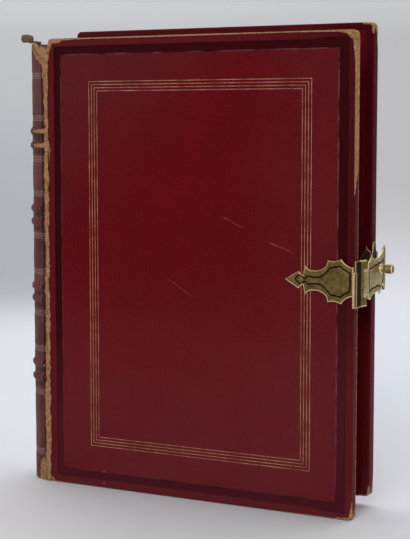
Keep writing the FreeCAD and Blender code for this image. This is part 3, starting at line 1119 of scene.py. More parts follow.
@dataclass
class Spine:
    """The rounded spine: leather with raised bands over a paper lining, torn open at the head."""

    book: Book
    bands: tuple[float, ...] = (222.8, 214.0, 174.2, 165.6, 124.4, 116.7, 75.3, 66.2)
    band_half: float = 2.7
    band_proud: float = 1.3
    tooled: tuple[float, ...] = (257.3, 230.9, 205.5, 183.5, 157.0, 134.0, 108.0, 85.0, 57.0, 18.5)
    top: float = 278.0
    tear: tuple[Flat, ...] = ((0.0, 266.0), (2.6, 266.8), (4.2, 268.4), (6.0, 267.2), (7.6, 270.6), (9.2, 269.8),
                              (10.8, 272.4), (13.2, 275.0), (14.6, 274.6), (16.4, 277.4), (19.0, 278.0))
    lining_tear: tuple[Flat, ...] = ((0.0, 271.6), (3.2, 274.6), (4.6, 273.4), (5.6, 275.8), (7.4, 272.2),
                                     (9.0, 275.6), (11.4, 277.2), (14.0, 278.0))
    columns: int = 120
    rows: int = 380

    def angles(self) -> tuple[float, float]:
        """Return the first and last angle of the spine's arc, in radians, from the front joint."""
        axis_x, _ = self.book.spine_axis
        half = math.acos((axis_x + self.book.joint_gap) / self.book.spine_radius)
        return (math.pi + half, math.pi - half)

    def relief(self, behind: float, arc: float, length: float, z: float) -> float:
        """Return how far the leather stands out from its plain arc.

        Args:
            behind: Distance behind the front joint along X.
            arc: Distance from the front joint along the surface.
            length: The whole arc's length.
            z: Height.

        Returns:
            The height of the relief in millimetres.
        """
        from_joint = min(arc, length - arc)
        fade = smooth(from_joint, 0.6, 5.5)
        sag = 0.35 * grit((behind, 0.0, z * 0.2), 16.0, 3.0)
        raised = 0.0
        for band in self.bands:
            raised = max(raised, smooth(self.band_half - abs(z + sag - band), 0.0, 1.9))
        dents = 0.0
        for line in self.tooled:
            dents = max(dents, smooth(2.2 - abs(z - line), 0.0, 0.6))
        wrinkle = 0.10 * grit((arc * 1.6, 3.0, z * 0.12), 2.6, 5.0) + 0.16 * grit((arc, 9.0, z), 13.0, 1.0)
        groove = -0.45 * smooth(2.2 - abs(arc - 6.4), 0.0, 1.8) * (1.0 - 0.5 * raised)
        return fade * (raised * self.band_proud * (1.0 + 0.16 * grit((arc, z, 0.0), 4.0, 7.0)) - dents * 0.16) \
            + wrinkle * smooth(from_joint, 0.0, 2.0) + groove * smooth(from_joint, 0.3, 2.0)

    def mark(self, behind: float, arc: float, length: float, z: float, edge: float) -> float:
        """Return how worn the leather is.

        Args:
            behind: Distance behind the front joint along X.
            arc: Distance from the front joint along the surface.
            length: The whole arc's length.
            z: Height.
            edge: Height of the torn edge above this point.

        Returns:
            The wear mark.
        """
        width = 1.5 + 1.0 * grit((0.0, 0.0, z), 17.0, 11.0) + 0.7 * grit((0.0, 0.0, z), 4.2, 12.0)
        width += 2.2 * smooth(abs(z - 262.0), 14.0, 4.0)
        front = max(near_mark(arc, width, 0.8), 0.42 * smooth(arc, 5.6, 4.2))
        back = near_mark(length - arc, 1.6 + 1.2 * grit((0.0, 5.0, z), 9.0, 13.0), 1.0)
        rim = near_mark(edge, 1.3 + 2.0 * smooth(16.0 - behind, 0.0, 8.0), 0.9) if behind < 18.0 else \
            near_mark(edge, 0.7, 0.7)
        crown = 0.0
        for index, band in enumerate(self.bands):
            reach = 1.5 if index < 2 else 0.2
            here = near_mark(abs(z - band), reach, 1.2)
            limit = near_mark(arc, 11.0 if index < 2 else 7.0, 3.5)
            crown = max(crown, here * (0.86 if index < 2 else 0.66) * (0.35 + 0.65 * limit))
        tail = near_mark(math.hypot((behind - 6.0) / 0.42, max(z - 7.0, 0.0)), 8.0, 3.0)
        heel = near_mark(z, 0.5, 0.5) * 0.9
        return max(front, back, rim, crown, tail, heel)

    def sheet(self, name: str, radius: float, thickness: float, tear: tuple[Flat, ...], columns: int,
              heights: Sequence[float], worn: bool, material: bpy.types.Material) -> bpy.types.Object:
        """Build one curved sheet of the spine with a ragged upper edge.

        Args:
            name: The piece's name.
            radius: Radius of its outer surface.
            thickness: How far its edges are turned in.
            tear: Height of its upper edge by distance behind the front joint.
            columns: Number of columns round the arc.
            heights: Shares of the height at which the rows lie.
            worn: Whether it carries the leather's relief and wear.
            material: The finish.

        Returns:
            The new piece.
        """
        axis_x, axis_y = self.book.spine_axis
        first, last = self.angles()
        length = abs(first - last) * self.book.spine_radius
        shell = Shell()

        def row(share: float, inward: float) -> list[int]:
            """Add one row of points at this share of the height, moved inward by this much."""
            points, marks = [], []
            for column in range(columns + 1):
                angle = first + (last - first) * column / columns
                arc = length * column / columns
                behind = -(axis_x + radius * math.cos(angle))
                front_half = angle > math.pi
                edge_z = along_stops(tear, behind) if front_half else self.top
                if front_half:
                    edge_z += 0.5 * grit((arc, 0.0, 0.0), 0.9, 21.0) * smooth(self.top + 1.0 - edge_z, 0.0, 4.0)
                edge_z = min(edge_z, self.top)
                z = edge_z * share
                out = self.relief(behind, arc, length, z) if worn else 0.0
                reach = radius + out - inward
                points.append((axis_x + reach * math.cos(angle), axis_y + reach * math.sin(angle), z))
                marks.append(self.mark(behind, arc, length, z, edge_z - z) if worn else 0.0)
            return shell.loop(points, marks)

        loops = [row(0.0, thickness)] + [row(share, 0.0) for share in heights] + [row(1.0, thickness)]
        shell.stack(loops, closed=False)
        shrink = 1.0 - thickness / radius
        for side in (0, -1):
            outer = [loop[side] for loop in loops[1:-1]]
            places = [shell.points[number] for number in outer]
            inner = shell.loop([(x + thickness * 0.3, axis_y + (y - axis_y) * shrink, z) for x, y, z in places], 0.6)
            shell.bridge(outer, inner, closed=False)
        return shell.make(name, self.book, material, crease=55.0, sink=0.18 if worn else 0.0)

    def build(self, hide: bpy.types.Material, lining: bpy.types.Material) -> list[bpy.types.Object]:
        """Build the leather and the lining in the place of their CAD solids.

        Args:
            hide: The leather.
            lining: The lining paper.

        Returns:
            The new pieces.
        """
        even = [index / self.rows for index in range(self.rows + 1)]
        leather = self.sheet("spine_hide", self.book.spine_radius, 0.9, self.tear, self.columns, even, True, hide)
        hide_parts("spine_leather")
        dense = [index / 40.0 * 0.92 for index in range(41)] + [0.92 + 0.08 * index / 30.0 for index in range(1, 31)]
        paper = self.sheet("torn_lining", self.book.spine_radius - 1.0, 1.1, self.lining_tear, self.columns, dense,
                           False, lining)
        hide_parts("spine_lining")
        for piece in (leather, paper):
            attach(piece, "pages")
        return [leather, paper]


@dataclass
class JointSkin:
    """The torn skin of leather that bridges a joint, from the spine over the cover's edge."""

    name: str
    cover: str
    book: Book
    front: bool
    low: float
    high: float
    reach_spine: float = 2.2
    reach_cover: float = 0.8
    thickness: float = 0.55
    columns: int = 12
    rows: int = 420

    def outside(self, x: float) -> float:
        """Return the Y of the outside of the book at this X, near the joint."""
        axis_x, axis_y = self.book.spine_axis
        if x >= 0.0:
            return 0.0 if self.front else self.book.thickness
        drop = math.sqrt(self.book.spine_radius ** 2 - (x - axis_x) ** 2)
        return axis_y - drop if self.front else axis_y + drop

    def build(self, material: bpy.types.Material) -> bpy.types.Object:
        """Build the skin.

        Args:
            material: The leather.

        Returns:
            The new piece.
        """
        shell = Shell()
        outward = -1.0 if self.front else 1.0
        seed = 31.0 if self.front else 41.0
        loops = []
        for row in range(self.rows + 1):
            z = self.low + (self.high - self.low) * row / self.rows
            spot = (0.0, 0.0, z)
            left = (-self.reach_spine - 1.5 * smooth(z, 130.0, 40.0) + 1.1 * grit(spot, 15.0, seed)
                    + 0.8 * grit(spot, 3.6, seed + 1.0) + 0.5 * grit(spot, 1.3, seed + 4.0))
            right = self.reach_cover + 0.9 * grit(spot, 11.0, seed + 2.0) + 0.7 * grit(spot, 2.4, seed + 3.0)
            above, below, marks = [], [], []
            for column in range(self.columns + 1):
                share = column / self.columns
                x = left + (right - left) * share
                edge = smooth(min(share, 1.0 - share), 0.0, 0.22)
                bulge = self.thickness * (0.25 + 0.75 * edge) * (0.75 + 0.7 * grit((x, 0.0, z), 3.0, seed + 5.0))
                y = self.outside(x) + outward * bulge * 0.62
                above.append((x, y, z))
                marks.append(0.80 + 0.25 * grit((x, 3.0, z), 6.0, seed + 6.0) - 0.34 * (1.0 - edge))
                below.append((x, self.outside(x) - outward * 0.35, z))
            loops.append(shell.loop(above + below[::-1], marks + [0.5] * len(below)))
        shell.stack(loops)
        shell.faces.append(tuple(loops[0]))
        shell.faces.append(tuple(reversed(loops[-1])))
        piece = shell.make(self.name, self.book, material, crease=60.0)
        y = 0.0 if self.front else self.book.thickness
        middle = (self.low + self.high) / 2.0
        tuple(self.book.place((-2.4, y, middle)))
        tuple(self.book.place((0.4, y, middle)))
        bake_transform(piece)
        return piece


@dataclass
class HeadcapCore:
    """The cord of the broken headcap: a thick loose end on a thin strand along the spine's upper edge."""

    book: Book
    radius: float = 2.6
    length: float = 7.8
    above: float = 1.5
    beyond: float = 3.7
    direction: Point = (-0.80, -0.52, 0.16)
    strand_radius: float = 0.85
    strand_height: float = 278.95
    strand_start: float = 172.0
    strand_sweep: float = 30.0
    strands: int = 3
    sides: int = 30
    steps: int = 60

    def strand(self) -> list[Vector]:
        """Return the points that the thin strand follows, in book millimetres."""
        axis_x, axis_y = self.book.spine_axis
        radius = self.book.spine_radius - 0.5
        points = []
        for index in range(self.steps + 1):
            angle = math.radians(self.strand_start + self.strand_sweep * index / self.steps)
            points.append(Vector((axis_x + radius * math.cos(angle), axis_y + radius * math.sin(angle),
                                  self.strand_height + 0.25 * grit((angle * 20.0, 0.0, 0.0), 1.4, 53.0))))
        return points

    def knob(self, end: Vector) -> list[Vector]:
        """Return the points that the thick loose end follows, in book millimetres.

        Args:
            end: The end of the thin strand.

        Returns:
            The points in order.
        """
        way = Vector(self.direction).normalized()
        start = end + way * (self.beyond - self.length / 2.0) + Vector((0.0, 0.0, self.above))
        return [start + way * self.length * index / 40 + Vector((0.0, 0.0, -0.5 * (index / 40.0) ** 2))
                for index in range(41)]

    def rope(self, shell: Shell, path: Sequence[Vector], radius: float, rounded: float) -> None:
        """Add a twisted rope along a path.

        Args:
            shell: The piece under construction.
            path: The rope's middle.
            radius: Its radius.
            rounded: Over what length its ends are rounded.
        """
        loops = []
        total = sum((after - before).length for before, after in zip(path, path[1:]))
        travelled = 0.0
        for index, here in enumerate(path):
            before = path[max(index - 1, 0)]
            after = path[min(index + 1, len(path) - 1)]
            travelled += (here - before).length
            along = (after - before).normalized()
            across = along.cross(Vector((0.0, 0.0, 1.0))).normalized()
            upward = across.cross(along)
            near_end = min(travelled, total - travelled)
            taper = math.sqrt(max(1.0 - (1.0 - min(near_end / rounded, 1.0)) ** 2, 0.10))
            points = []
            for side in range(self.sides):
                turn = 2.0 * math.pi * side / self.sides
                lobe = abs(math.cos(0.5 * self.strands * (turn - travelled * 1.1 / radius)))
                rough = 0.16 * grit((here.x + turn * 3.0, here.y, travelled), 0.8, 51.0)
                reach = radius * taper * (0.84 + 0.16 * lobe + rough)
                points.append(here + across * reach * math.cos(turn) + upward * reach * math.sin(turn))
            loops.append(shell.loop(points))
        shell.stack(loops)
        for loop, centre in ((loops[0], path[0]), (loops[-1], path[-1])):
            middle = shell.loop([centre])[0]
            shell.faces.extend((loop[index], loop[(index + 1) % self.sides], middle) for index in range(self.sides))

    def build(self, material: bpy.types.Material) -> bpy.types.Object:
        """Build the cord in the place of its CAD solid.

        Args:
            material: The finish.

        Returns:
            The new piece.
        """
        shell = Shell()
        strand = self.strand()
        self.rope(shell, strand, self.strand_radius, 0.6)
        self.rope(shell, self.knob(strand[-1]), self.radius, 1.5)
        piece = shell.make("headcap_cord", self.book, material, crease=70.0)
        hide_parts("headcap_core")
        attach(piece, "pages")
        return piece


def trace(points: Sequence[Sequence[float]], step: float = 0.8) -> list[Flat]:
    """Return an outline as short runs; a point's third value is the sagitta of the run that leads to it.

    Args:
        points: The outline's corners in order.
        step: About how long the short runs are.

    Returns:
        The points of the closed outline.
    """
    result: list[Flat] = []
    for index, start in enumerate(points):
        end = points[(index + 1) % len(points)]
        run = math.hypot(end[0] - start[0], end[1] - start[1])
        sagitta = end[2] if len(end) == 3 else 0.0
        count = max(int(run / step), 1)
        left = (-(end[1] - start[1]) / run, (end[0] - start[0]) / run)
        for part in range(count):
            share = part / count
            bulge = 0.0
            if abs(sagitta) > 0.0:
                radius = ((run / 2.0) ** 2 + sagitta ** 2) / (2.0 * abs(sagitta))
                beside = (share - 0.5) * run
                bulge = math.copysign(math.sqrt(radius ** 2 - beside ** 2) - radius + abs(sagitta), sagitta)
            result.append((start[0] + (end[0] - start[0]) * share + left[0] * bulge,
                           start[1] + (end[1] - start[1]) * share + left[1] * bulge))
    return result


def inset(points: Sequence[Flat], distance: float) -> list[Flat]:
    """Return a closed outline moved inward by a distance, or outward by a negative one.

    Args:
        points: The outline.
        distance: How far to move it.

    Returns:
        As many points as the outline has.
    """
    count = len(points)
    area = sum(points[index][0] * points[(index + 1) % count][1] - points[(index + 1) % count][0] * points[index][1]
               for index in range(count))
    turn = 1.0 if area > 0.0 else -1.0
    result = []
    for index in range(count):
        here = Vector(points[index])
        first = (here - Vector(points[index - 1])).normalized()
        second = (Vector(points[(index + 1) % count]) - here).normalized()
        normal = Vector((-first.y, first.x)) * turn
        middle = normal + Vector((-second.y, second.x)) * turn
        if middle.length < 0.01:
            middle = first - second
        middle.normalize()
        moved = here + middle * (distance / max(middle.dot(normal), 0.5))
        result.append((moved.x, moved.y))
    return result


def set_from(edge: float, middle: float, points: Sequence[Sequence[float]]) -> list[tuple[float, ...]]:
    """Return outline points from their distances before an edge and heights above a middle."""
    return [(edge - point[0], middle + point[1]) + tuple(point[2:]) for point in points]


def mirrored(half: Sequence[Sequence[float]]) -> list[tuple[float, ...]]:
    """Return a closed outline from its upper half, which runs from the tip to the root."""
    lower = []
    for index in range(len(half) - 1, -1, -1):
        follows = half[index + 1] if index + 1 < len(half) else (0.0, 0.0)
        lower.append((half[index][0], -half[index][1]) + tuple(follows[2:]))
    return [tuple(point) for point in half] + [point for point in lower if abs(point[1]) > 0.001]


ToBook = Callable[[float, float, float], Point]


def distance_to(line: Sequence[Flat], u: float, v: float) -> float:
    """Return the distance from a point to a closed line of short runs.

    Args:
        line: The line's corners.
        u: First part of the point.
        v: Second part of the point.

    Returns:
        The shortest distance.
    """
    nearest = math.inf
    for index, (start_u, start_v) in enumerate(line):
        run_u = line[(index + 1) % len(line)][0] - start_u
        run_v = line[(index + 1) % len(line)][1] - start_v
        share = ((u - start_u) * run_u + (v - start_v) * run_v) / (run_u * run_u + run_v * run_v)
        share = min(max(share, 0.0), 1.0)
        nearest = min(nearest, math.hypot(start_u + run_u * share - u, start_v + run_v * share - v))
    return nearest


ENGRAVED = ((0.68, 0.0, 0.0), (0.56, 0.03, 0.3), (0.45, 0.14, -0.95), (0.22, 0.34, -1.0), (0.0, 0.38, -1.0))


def engrave(shell: Shell, edge: Sequence[int], flat: Sequence[Flat], panel: Sequence[Flat], thickness: float,
            place: ToBook, face_mark: float) -> None:
    """Fill a plate's face and press a line into it.

    Args:
        shell: The piece under construction.
        edge: The numbers of the face's outline.
        flat: The same outline, flat.
        panel: The middle of the engraved line.
        thickness: The plate's thickness.
        place: Turns an outline point and a height above its underside into book millimetres.
        face_mark: The mark of the face.
    """
    points = [Vector(point) for point in flat]
    for reach, _, _ in ENGRAVED:
        for side in (1.0, -1.0) if reach > 0.0 else (1.0,):
            for u, v in inset(panel, reach * side):
                if distance_to(panel, u, v) > reach - 0.02 and distance_to(flat, u, v) > 0.08:
                    points.append(Vector((u, v)))
    corners, _, faces, origins, _, _ = delaunay_2d_cdt(points, [], [list(range(len(flat)))], 1, 0.004)
    numbers = []
    for corner, origin in zip(corners, origins):
        rim = [number for number in origin if number < len(flat)]
        if rim:
            numbers.append(edge[rim[0]])
            continue
        away = distance_to(panel, corner.x, corner.y)
        depth, mark = 0.0, face_mark
        for (outer, low, first), (inner, high, second) in zip(ENGRAVED, ENGRAVED[1:]):
            if inner <= away <= outer:
                share = (outer - away) / (outer - inner)
                depth = low + (high - low) * share
                mark = (first or face_mark) + (second - (first or face_mark)) * share
        numbers.append(shell.loop([place(corner.x, corner.y, thickness - depth)], mark)[0])
    shell.faces.extend(tuple(numbers[corner] for corner in face) for face in faces)


def add_plate(shell: Shell, outline: Sequence[Flat], thickness: float, place: ToBook,
              panel: Sequence[Flat] | None = None, face_mark: float = 0.0, rim: float = 0.55) -> None:
    """Add a metal plate with bevelled rims and, where it has a panel, a line engraved round it.

    Args:
        shell: The piece under construction.
        outline: The plate's outline.
        thickness: Its thickness.
        place: Turns an outline point and a height above its underside into book millimetres.
        panel: The outline of the engraved line's middle.
        face_mark: The mark of its face, where one is rubbed bright with a painted highlight and minus one is dark
            with grime and painted shade.
        rim: Width of the bevelled rim.
    """
    # The rims' high marks paint them rubbed bright, with a painted highlight.
    profile = ((0.12, 0.0, face_mark), (0.0, 0.12, face_mark), (0.0, thickness - 0.34, 0.75),
               (rim * 0.22, thickness - 0.12, 1.0), (rim, thickness, 0.95), (rim * 1.5, thickness - 0.02, face_mark))
    loops = []
    for offset, height, mark in profile:
        loops.append(shell.loop([place(u, v, height) for u, v in inset(outline, offset)], mark))
    shell.stack(loops)
    shell.fill([loops[0]])
    if panel is None:
        shell.fill([loops[-1]])
    else:
        engrave(shell, loops[-1], inset(outline, rim * 1.5), panel, thickness, place, face_mark)


def add_turning(shell: Shell, profile: Sequence[tuple[float, float, float]], place: ToBook, sides: int = 36) -> None:
    """Add a turned piece, closed at both ends.

    Args:
        shell: The piece under construction.
        profile: Radius, distance along the axis and mark of each ring.
        place: Turns two distances across the axis and one along it into book millimetres.
        sides: Number of points round each ring.
    """
    loops = []
    for radius, along, mark in profile:
        ring = [(radius * math.cos(2.0 * math.pi * side / sides), radius * math.sin(2.0 * math.pi * side / sides))
                for side in range(sides)]
        loops.append(shell.loop([place(u, v, along) for u, v in ring], mark))
    shell.stack(loops)
    shell.fill([loops[0]])
    shell.fill([loops[-1]])


def knuckle_profile(radius: float, low: float, high: float) -> list[tuple[float, float, float]]:
    """Return the turned profile of a hinge knuckle with softened ends, rubbed bright with a painted highlight."""
    return [(radius - 0.3, low, 0.4), (radius - 0.08, low + 0.08, 0.95), (radius, low + 0.28, 1.0),
            (radius, low + 0.7, 0.9), (radius, low + 1.0, 0.2), (radius, high - 1.0, 0.2), (radius, high - 0.7, 0.9),
            (radius, high - 0.28, 1.0), (radius - 0.08, high - 0.08, 0.95), (radius - 0.3, high, 0.4)]


@dataclass
class Clasp:
    """The hinged clasp: a plate on the front cover, a strap with a knob, and a catch on the back cover."""

    book: Book
    height: float = 138.2
    thickness: float = 0.9
    barrel_x: float = 207.3
    barrel_y: float = 13.9
    barrel_radius: float = 1.9
    barrel_half: float = 13.4
    barrel_drop: float = 1.6
    knuckle_half: float = 7.2
    knuckle_gap: float = 0.15
    leaf_setback: float = 1.2
    leaf_before_axis: float = 0.75
    rib_y: float = 9.5
    rib_radius: float = 1.15
    overhang: float = 1.6
    lip: float = 1.2
    knob: Flat = (35.9, 143.0)
    ornament: tuple[tuple[float, ...], ...] = (
        (42.8, 0.0), (33.9, 5.2), (31.2, 2.9, -0.4), (30.0, 8.9), (24.6, 5.9, -1.0), (19.6, 6.8, -0.4),
        (16.0, 12.2, -1.2), (7.4, 13.0, -0.9), (1.2, 8.4, -0.8), (0.0, 8.6))
    panel: tuple[tuple[float, ...], ...] = (
        (35.8, 0.0), (33.2, 2.6, 0.76), (30.8, 0.8, 0.5), (29.8, 0.8), (28.4, 2.4), (21.2, 2.0, -0.3),
        (16.6, 5.2, -0.5), (14.4, 7.6, -0.2), (8.1, 8.8), (2.1, 5.2, -0.3))
    strap_lower: tuple[tuple[float, ...], ...] = (
        (21.6, -12.0), (15.8, -8.8, 0.9), (13.8, -9.2), (6.4, -10.2, 1.3), (3.2, -4.6, 0.5), (-0.8, -8.2, 0.6),
        (-1.6, -8.2))
    strap_upper: tuple[tuple[float, ...], ...] = (
        (-1.6, 16.6), (-0.2, 18.2), (13.4, 11.2, 1.6), (15.4, 11.4), (19.6, 14.2, 0.7))
    strap_panel: tuple[tuple[float, ...], ...] = (
        (23.8, -7.2), (14.8, -5.4, 0.7), (5.6, -6.4, 1.3), (1.4, -1.0, 0.3), (1.4, 10.6), (9.0, 8.6, 0.9),
        (15.4, 7.6, 0.5), (23.8, 6.4, 0.5))
    catch_leaf: tuple[tuple[float, ...], ...] = (
        (0.0, -8.6), (0.0, 8.6), (3.2, 12.0, 0.5), (6.5, 6.0, 0.6), (13.0, 0.0, 1.4), (6.5, -6.0, 1.4),
        (3.2, -12.0, 0.6))
    catch_return: tuple[tuple[float, ...], ...] = (
        (0.6, -8.6), (2.2, -8.6), (3.0, -14.2), (6.8, -14.2), (7.5, -8.6), (8.2, -8.6), (8.2, 8.6), (7.5, 8.6),
        (6.8, 14.2), (3.0, 14.2), (2.2, 8.6), (0.6, 8.6))
    bar_low: float = -15.0
    bar_high: float = 5.4

    @property
    def barrel_z(self) -> float:
        """Height of the hinge barrel's middle."""
        return self.height - self.barrel_drop

    @property
    def strap_inner(self) -> float:
        """X of the strap's inner face."""
        return self.barrel_x + self.barrel_radius - self.thickness

    def dress(self, piece: bpy.types.Object, node: str, body: str) -> bpy.types.Object:
        """Put a piece of the clasp in the place of its CAD solid."""
        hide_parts(node)
        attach(piece, body)
        return piece

    def bend(self, shell: Shell, edge: float, face: float, outward: float, middle: float,
             low: float | None = None, high: float | None = None) -> None:
        """Add the rounded bar that takes a plate over the fore-edge.

        Args:
            shell: The piece under construction.
            edge: X of the cover's fore-edge.
            face: Y of the cover's face.
            outward: The direction in Y that leads away from the book.
            middle: Height of the plate's middle.
            low: Where the bar ends below the middle, or None for the plate's own edge.
            high: Where it ends above.
        """
        low = -self.ornament[-1][1] if low is None else low
        high = self.ornament[-1][1] if high is None else high
        # The section's marks paint highlights along the bar's two arrises and its ends, which are also rubbed, and
        # painted shade at its inner foot.
        section = [(-0.5, 0.9, 0.9), (0.10, 0.9, 1.0), (0.45, 0.80, 0.9), (0.72, 0.5, 0.3), (0.86, 0.1, 0.0),
                   (0.92, -0.5, -0.1), (0.96, -1.2, 0.0), (1.10, -1.6, 0.9), (1.12, -2.0, 1.0), (0.9, -2.3, 0.8),
                   (0.02, -2.4, -0.9), (0.02, 0.02, 0.0), (-0.5, 0.02, 0.0)]
        flat = [(u, v) for u, v, _ in section]
        marks = [mark for _, _, mark in section]
        loops = []
        for offset, z, more in ((0.16, low, 0.5), (0.0, low + 0.16, 0.8), (0.0, low + 0.9, 0.0),
                                (0.0, high - 0.9, 0.0), (0.0, high - 0.16, 0.8), (0.16, high, 0.5)):
            outline = inset(flat, offset) if offset else flat
            loops.append(shell.loop([(edge + u, face + outward * v, middle + z) for u, v in outline],
                                    [max(mark, more) for mark in marks]))
        shell.stack(loops)
        shell.fill([loops[0]])
        shell.fill([loops[-1]])

    def front_plate(self, brass: bpy.types.Material) -> bpy.types.Object:
        """Build the front plate with its bend, leaf and two knuckles.

        Args:
            brass: The finish.

        Returns:
            The new piece.
        """
        shell = Shell()
        edge = self.book.width
        outline = trace(set_from(edge, self.height, mirrored(self.ornament)))
        panel = trace(set_from(edge, self.height, mirrored(self.panel)), 0.5)
        add_plate(shell, outline, self.thickness, lambda u, v, h: (u, -h, v), panel)
        self.bend(shell, edge, 0.0, -1.0, self.height, self.bar_low, self.bar_high)
        z = self.barrel_z
        end = self.barrel_y - self.leaf_before_axis
        back = self.barrel_y - self.barrel_radius - self.leaf_setback
        middle = self.knuckle_half + self.knuckle_gap
        leaf = [(0.6, z - self.barrel_half), (end, z - self.barrel_half), (end, z - middle), (back, z - middle),
                (back, z + middle), (end, z + middle), (end, z + self.barrel_half), (0.6, z + self.barrel_half)]
        # The leaf's face is painted dark as shade, and its rims light as a highlight.
        add_plate(shell, leaf, self.thickness, lambda u, v, h: (edge + h, u, v), face_mark=-0.9, rim=0.4)
        add_turning(shell, knuckle_profile(self.rib_radius, z - self.barrel_half, z + self.barrel_half),
                    lambda u, v, w: (edge + self.thickness + u, self.rib_y + v, w))
        for low, high in ((z - self.barrel_half, z - middle), (z + middle, z + self.barrel_half)):
            add_turning(shell, knuckle_profile(self.barrel_radius, low, high),
                        lambda u, v, w: (self.barrel_x + u, self.barrel_y + v, w))
        return self.dress(shell.make("clasp_front", self.book, brass, crease=32.0), "clasp_plate", "front_cover")

    def strap(self, brass: bpy.types.Material) -> bpy.types.Object:
        """Build the strap with its knuckle and the lip at its far end.

        Args:
            brass: The finish.

        Returns:
            The new piece.
        """
        shell = Shell()
        full = self.book.thickness
        z = self.barrel_z
        root = self.barrel_y + self.barrel_radius
        corners = [(self.barrel_y, z - self.knuckle_half), (root + 0.45, z - self.knuckle_half),
                   (root + 0.9, self.height - 11.0)]
        corners += set_from(full, self.height, self.strap_lower + self.strap_upper)
        corners += [(root + 0.9, self.height + 9.8, 0.5), (root + 0.45, z + self.knuckle_half),
                    (self.barrel_y, z + self.knuckle_half)]
        panel = trace(set_from(full, self.height, self.strap_panel), 0.5)
        inner = self.strap_inner
        add_plate(shell, trace(corners), self.thickness, lambda u, v, h: (inner + h, u, v), panel, face_mark=0.38,
                  rim=0.5)
        end = full + self.overhang
        low, high = self.height - 8.2, self.height + 16.6
        lip = [(inner - self.lip, low), (inner + 0.1, low), (inner + 0.1, high), (inner - self.lip, high)]
        # The lip's face is painted darker as shade.
        add_plate(shell, lip, self.thickness, lambda u, v, h: (u, end - self.thickness + h, v), face_mark=-0.4,
                  rim=0.2)
        add_turning(shell, knuckle_profile(self.barrel_radius, z - self.knuckle_half, z + self.knuckle_half),
                    lambda u, v, w: (self.barrel_x + u, self.barrel_y + v, w))
        return self.dress(shell.make("clasp_swing_strap", self.book, brass, crease=32.0), "clasp_strap", "strap")

    def turned_knob(self, brass: bpy.types.Material) -> bpy.types.Object:
        """Build the knob: collar, waisted stem and a cap with a hollow in its end.

        Args:
            brass: The finish.

        Returns:
            The new piece.
        """
        shell = Shell()
        outer = self.strap_inner + self.thickness
        # The marks paint highlights on the rims of the collar and the cap, which are also rubbed, and painted shade
        # under the cap, in a ring near its end and in its hollow.
        profile = [(1.1, -0.85, 0.0), (1.1, 0.0, 0.0), (3.05, 0.0, 0.3), (3.1, 0.25, 0.8), (3.0, 0.6, 1.0),
                   (2.7, 0.88, 0.9), (2.35, 0.95, 0.2), (2.2, 1.2, 0.2), (2.15, 2.2, 0.4), (2.2, 2.9, -0.2),
                   (2.4, 3.1, -0.7), (2.6, 3.3, 0.2), (2.72, 3.5, 0.9), (2.75, 3.9, 0.3), (2.75, 6.3, 0.2),
                   (2.74, 6.55, -0.6), (2.74, 7.0, -0.8), (2.72, 7.1, 0.7), (2.6, 7.4, 1.0), (2.3, 7.6, 1.0),
                   (2.0, 7.58, 0.7), (1.7, 7.4, -0.2), (1.3, 7.3, -0.3)]
        add_turning(shell, profile, lambda u, v, w: (outer + w, self.knob[0] + u, self.knob[1] + v), 40)
        return self.dress(shell.make("clasp_knob", self.book, brass, crease=50.0), "strap_knob", "strap")

    def catch(self, brass: bpy.types.Material) -> bpy.types.Object:
        """Build the catch on the back cover with its bend, inner leaf and boss.

        Args:
            brass: The finish.

        Returns:
            The new piece.
        """
        shell = Shell()
        edge = self.book.back_width
        full = self.book.thickness
        middle = self.height + self.book.back_lift
        outline = trace(set_from(edge, middle, mirrored(self.ornament)))
        panel = trace(set_from(edge, middle, mirrored(self.panel)), 0.5)
        add_plate(shell, outline, self.thickness, lambda u, v, h: (u, full + h, v), panel)
        self.bend(shell, edge, full, 1.0, middle)
        inner = full - self.book.cover_thickness
        over = trace(set_from(full, middle, self.catch_return))
        # The return over the fore-edge is painted dark as shade.
        add_plate(shell, over, self.thickness, lambda u, v, h: (edge + h, u, v), face_mark=-0.5, rim=0.3)
        leaf = trace(set_from(edge, middle, self.catch_leaf))
        # The inner leaf is painted a little darker as shade.
        add_plate(shell, leaf, self.thickness, lambda u, v, h: (u, inner - h, v), face_mark=-0.2)
        boss = edge + self.thickness
        length = self.strap_inner - self.lip - boss - 0.4
        add_turning(shell, [(3.0, -0.1, 0.0), (3.0, length - 0.25, 0.6), (2.75, length, 1.0), (2.2, length, 0.2)],
                    lambda u, v, w: (boss + w, self.knob[0] + 2.4 + u, middle + v))
        return self.dress(shell.make("catch_back", self.book, brass, crease=32.0), "catch_plate", "back_cover")

    def build(self, brass: bpy.types.Material, bright: bpy.types.Material) -> list[bpy.types.Object]:
        """Build all the pieces of the clasp.

        Args:
            brass: The finish of the plates.
            bright: The finish of the strap and its knob, rubbed by hands.

        Returns:
            The new pieces.
        """
        return [self.front_plate(brass), self.strap(bright), self.turned_knob(bright), self.catch(brass)]


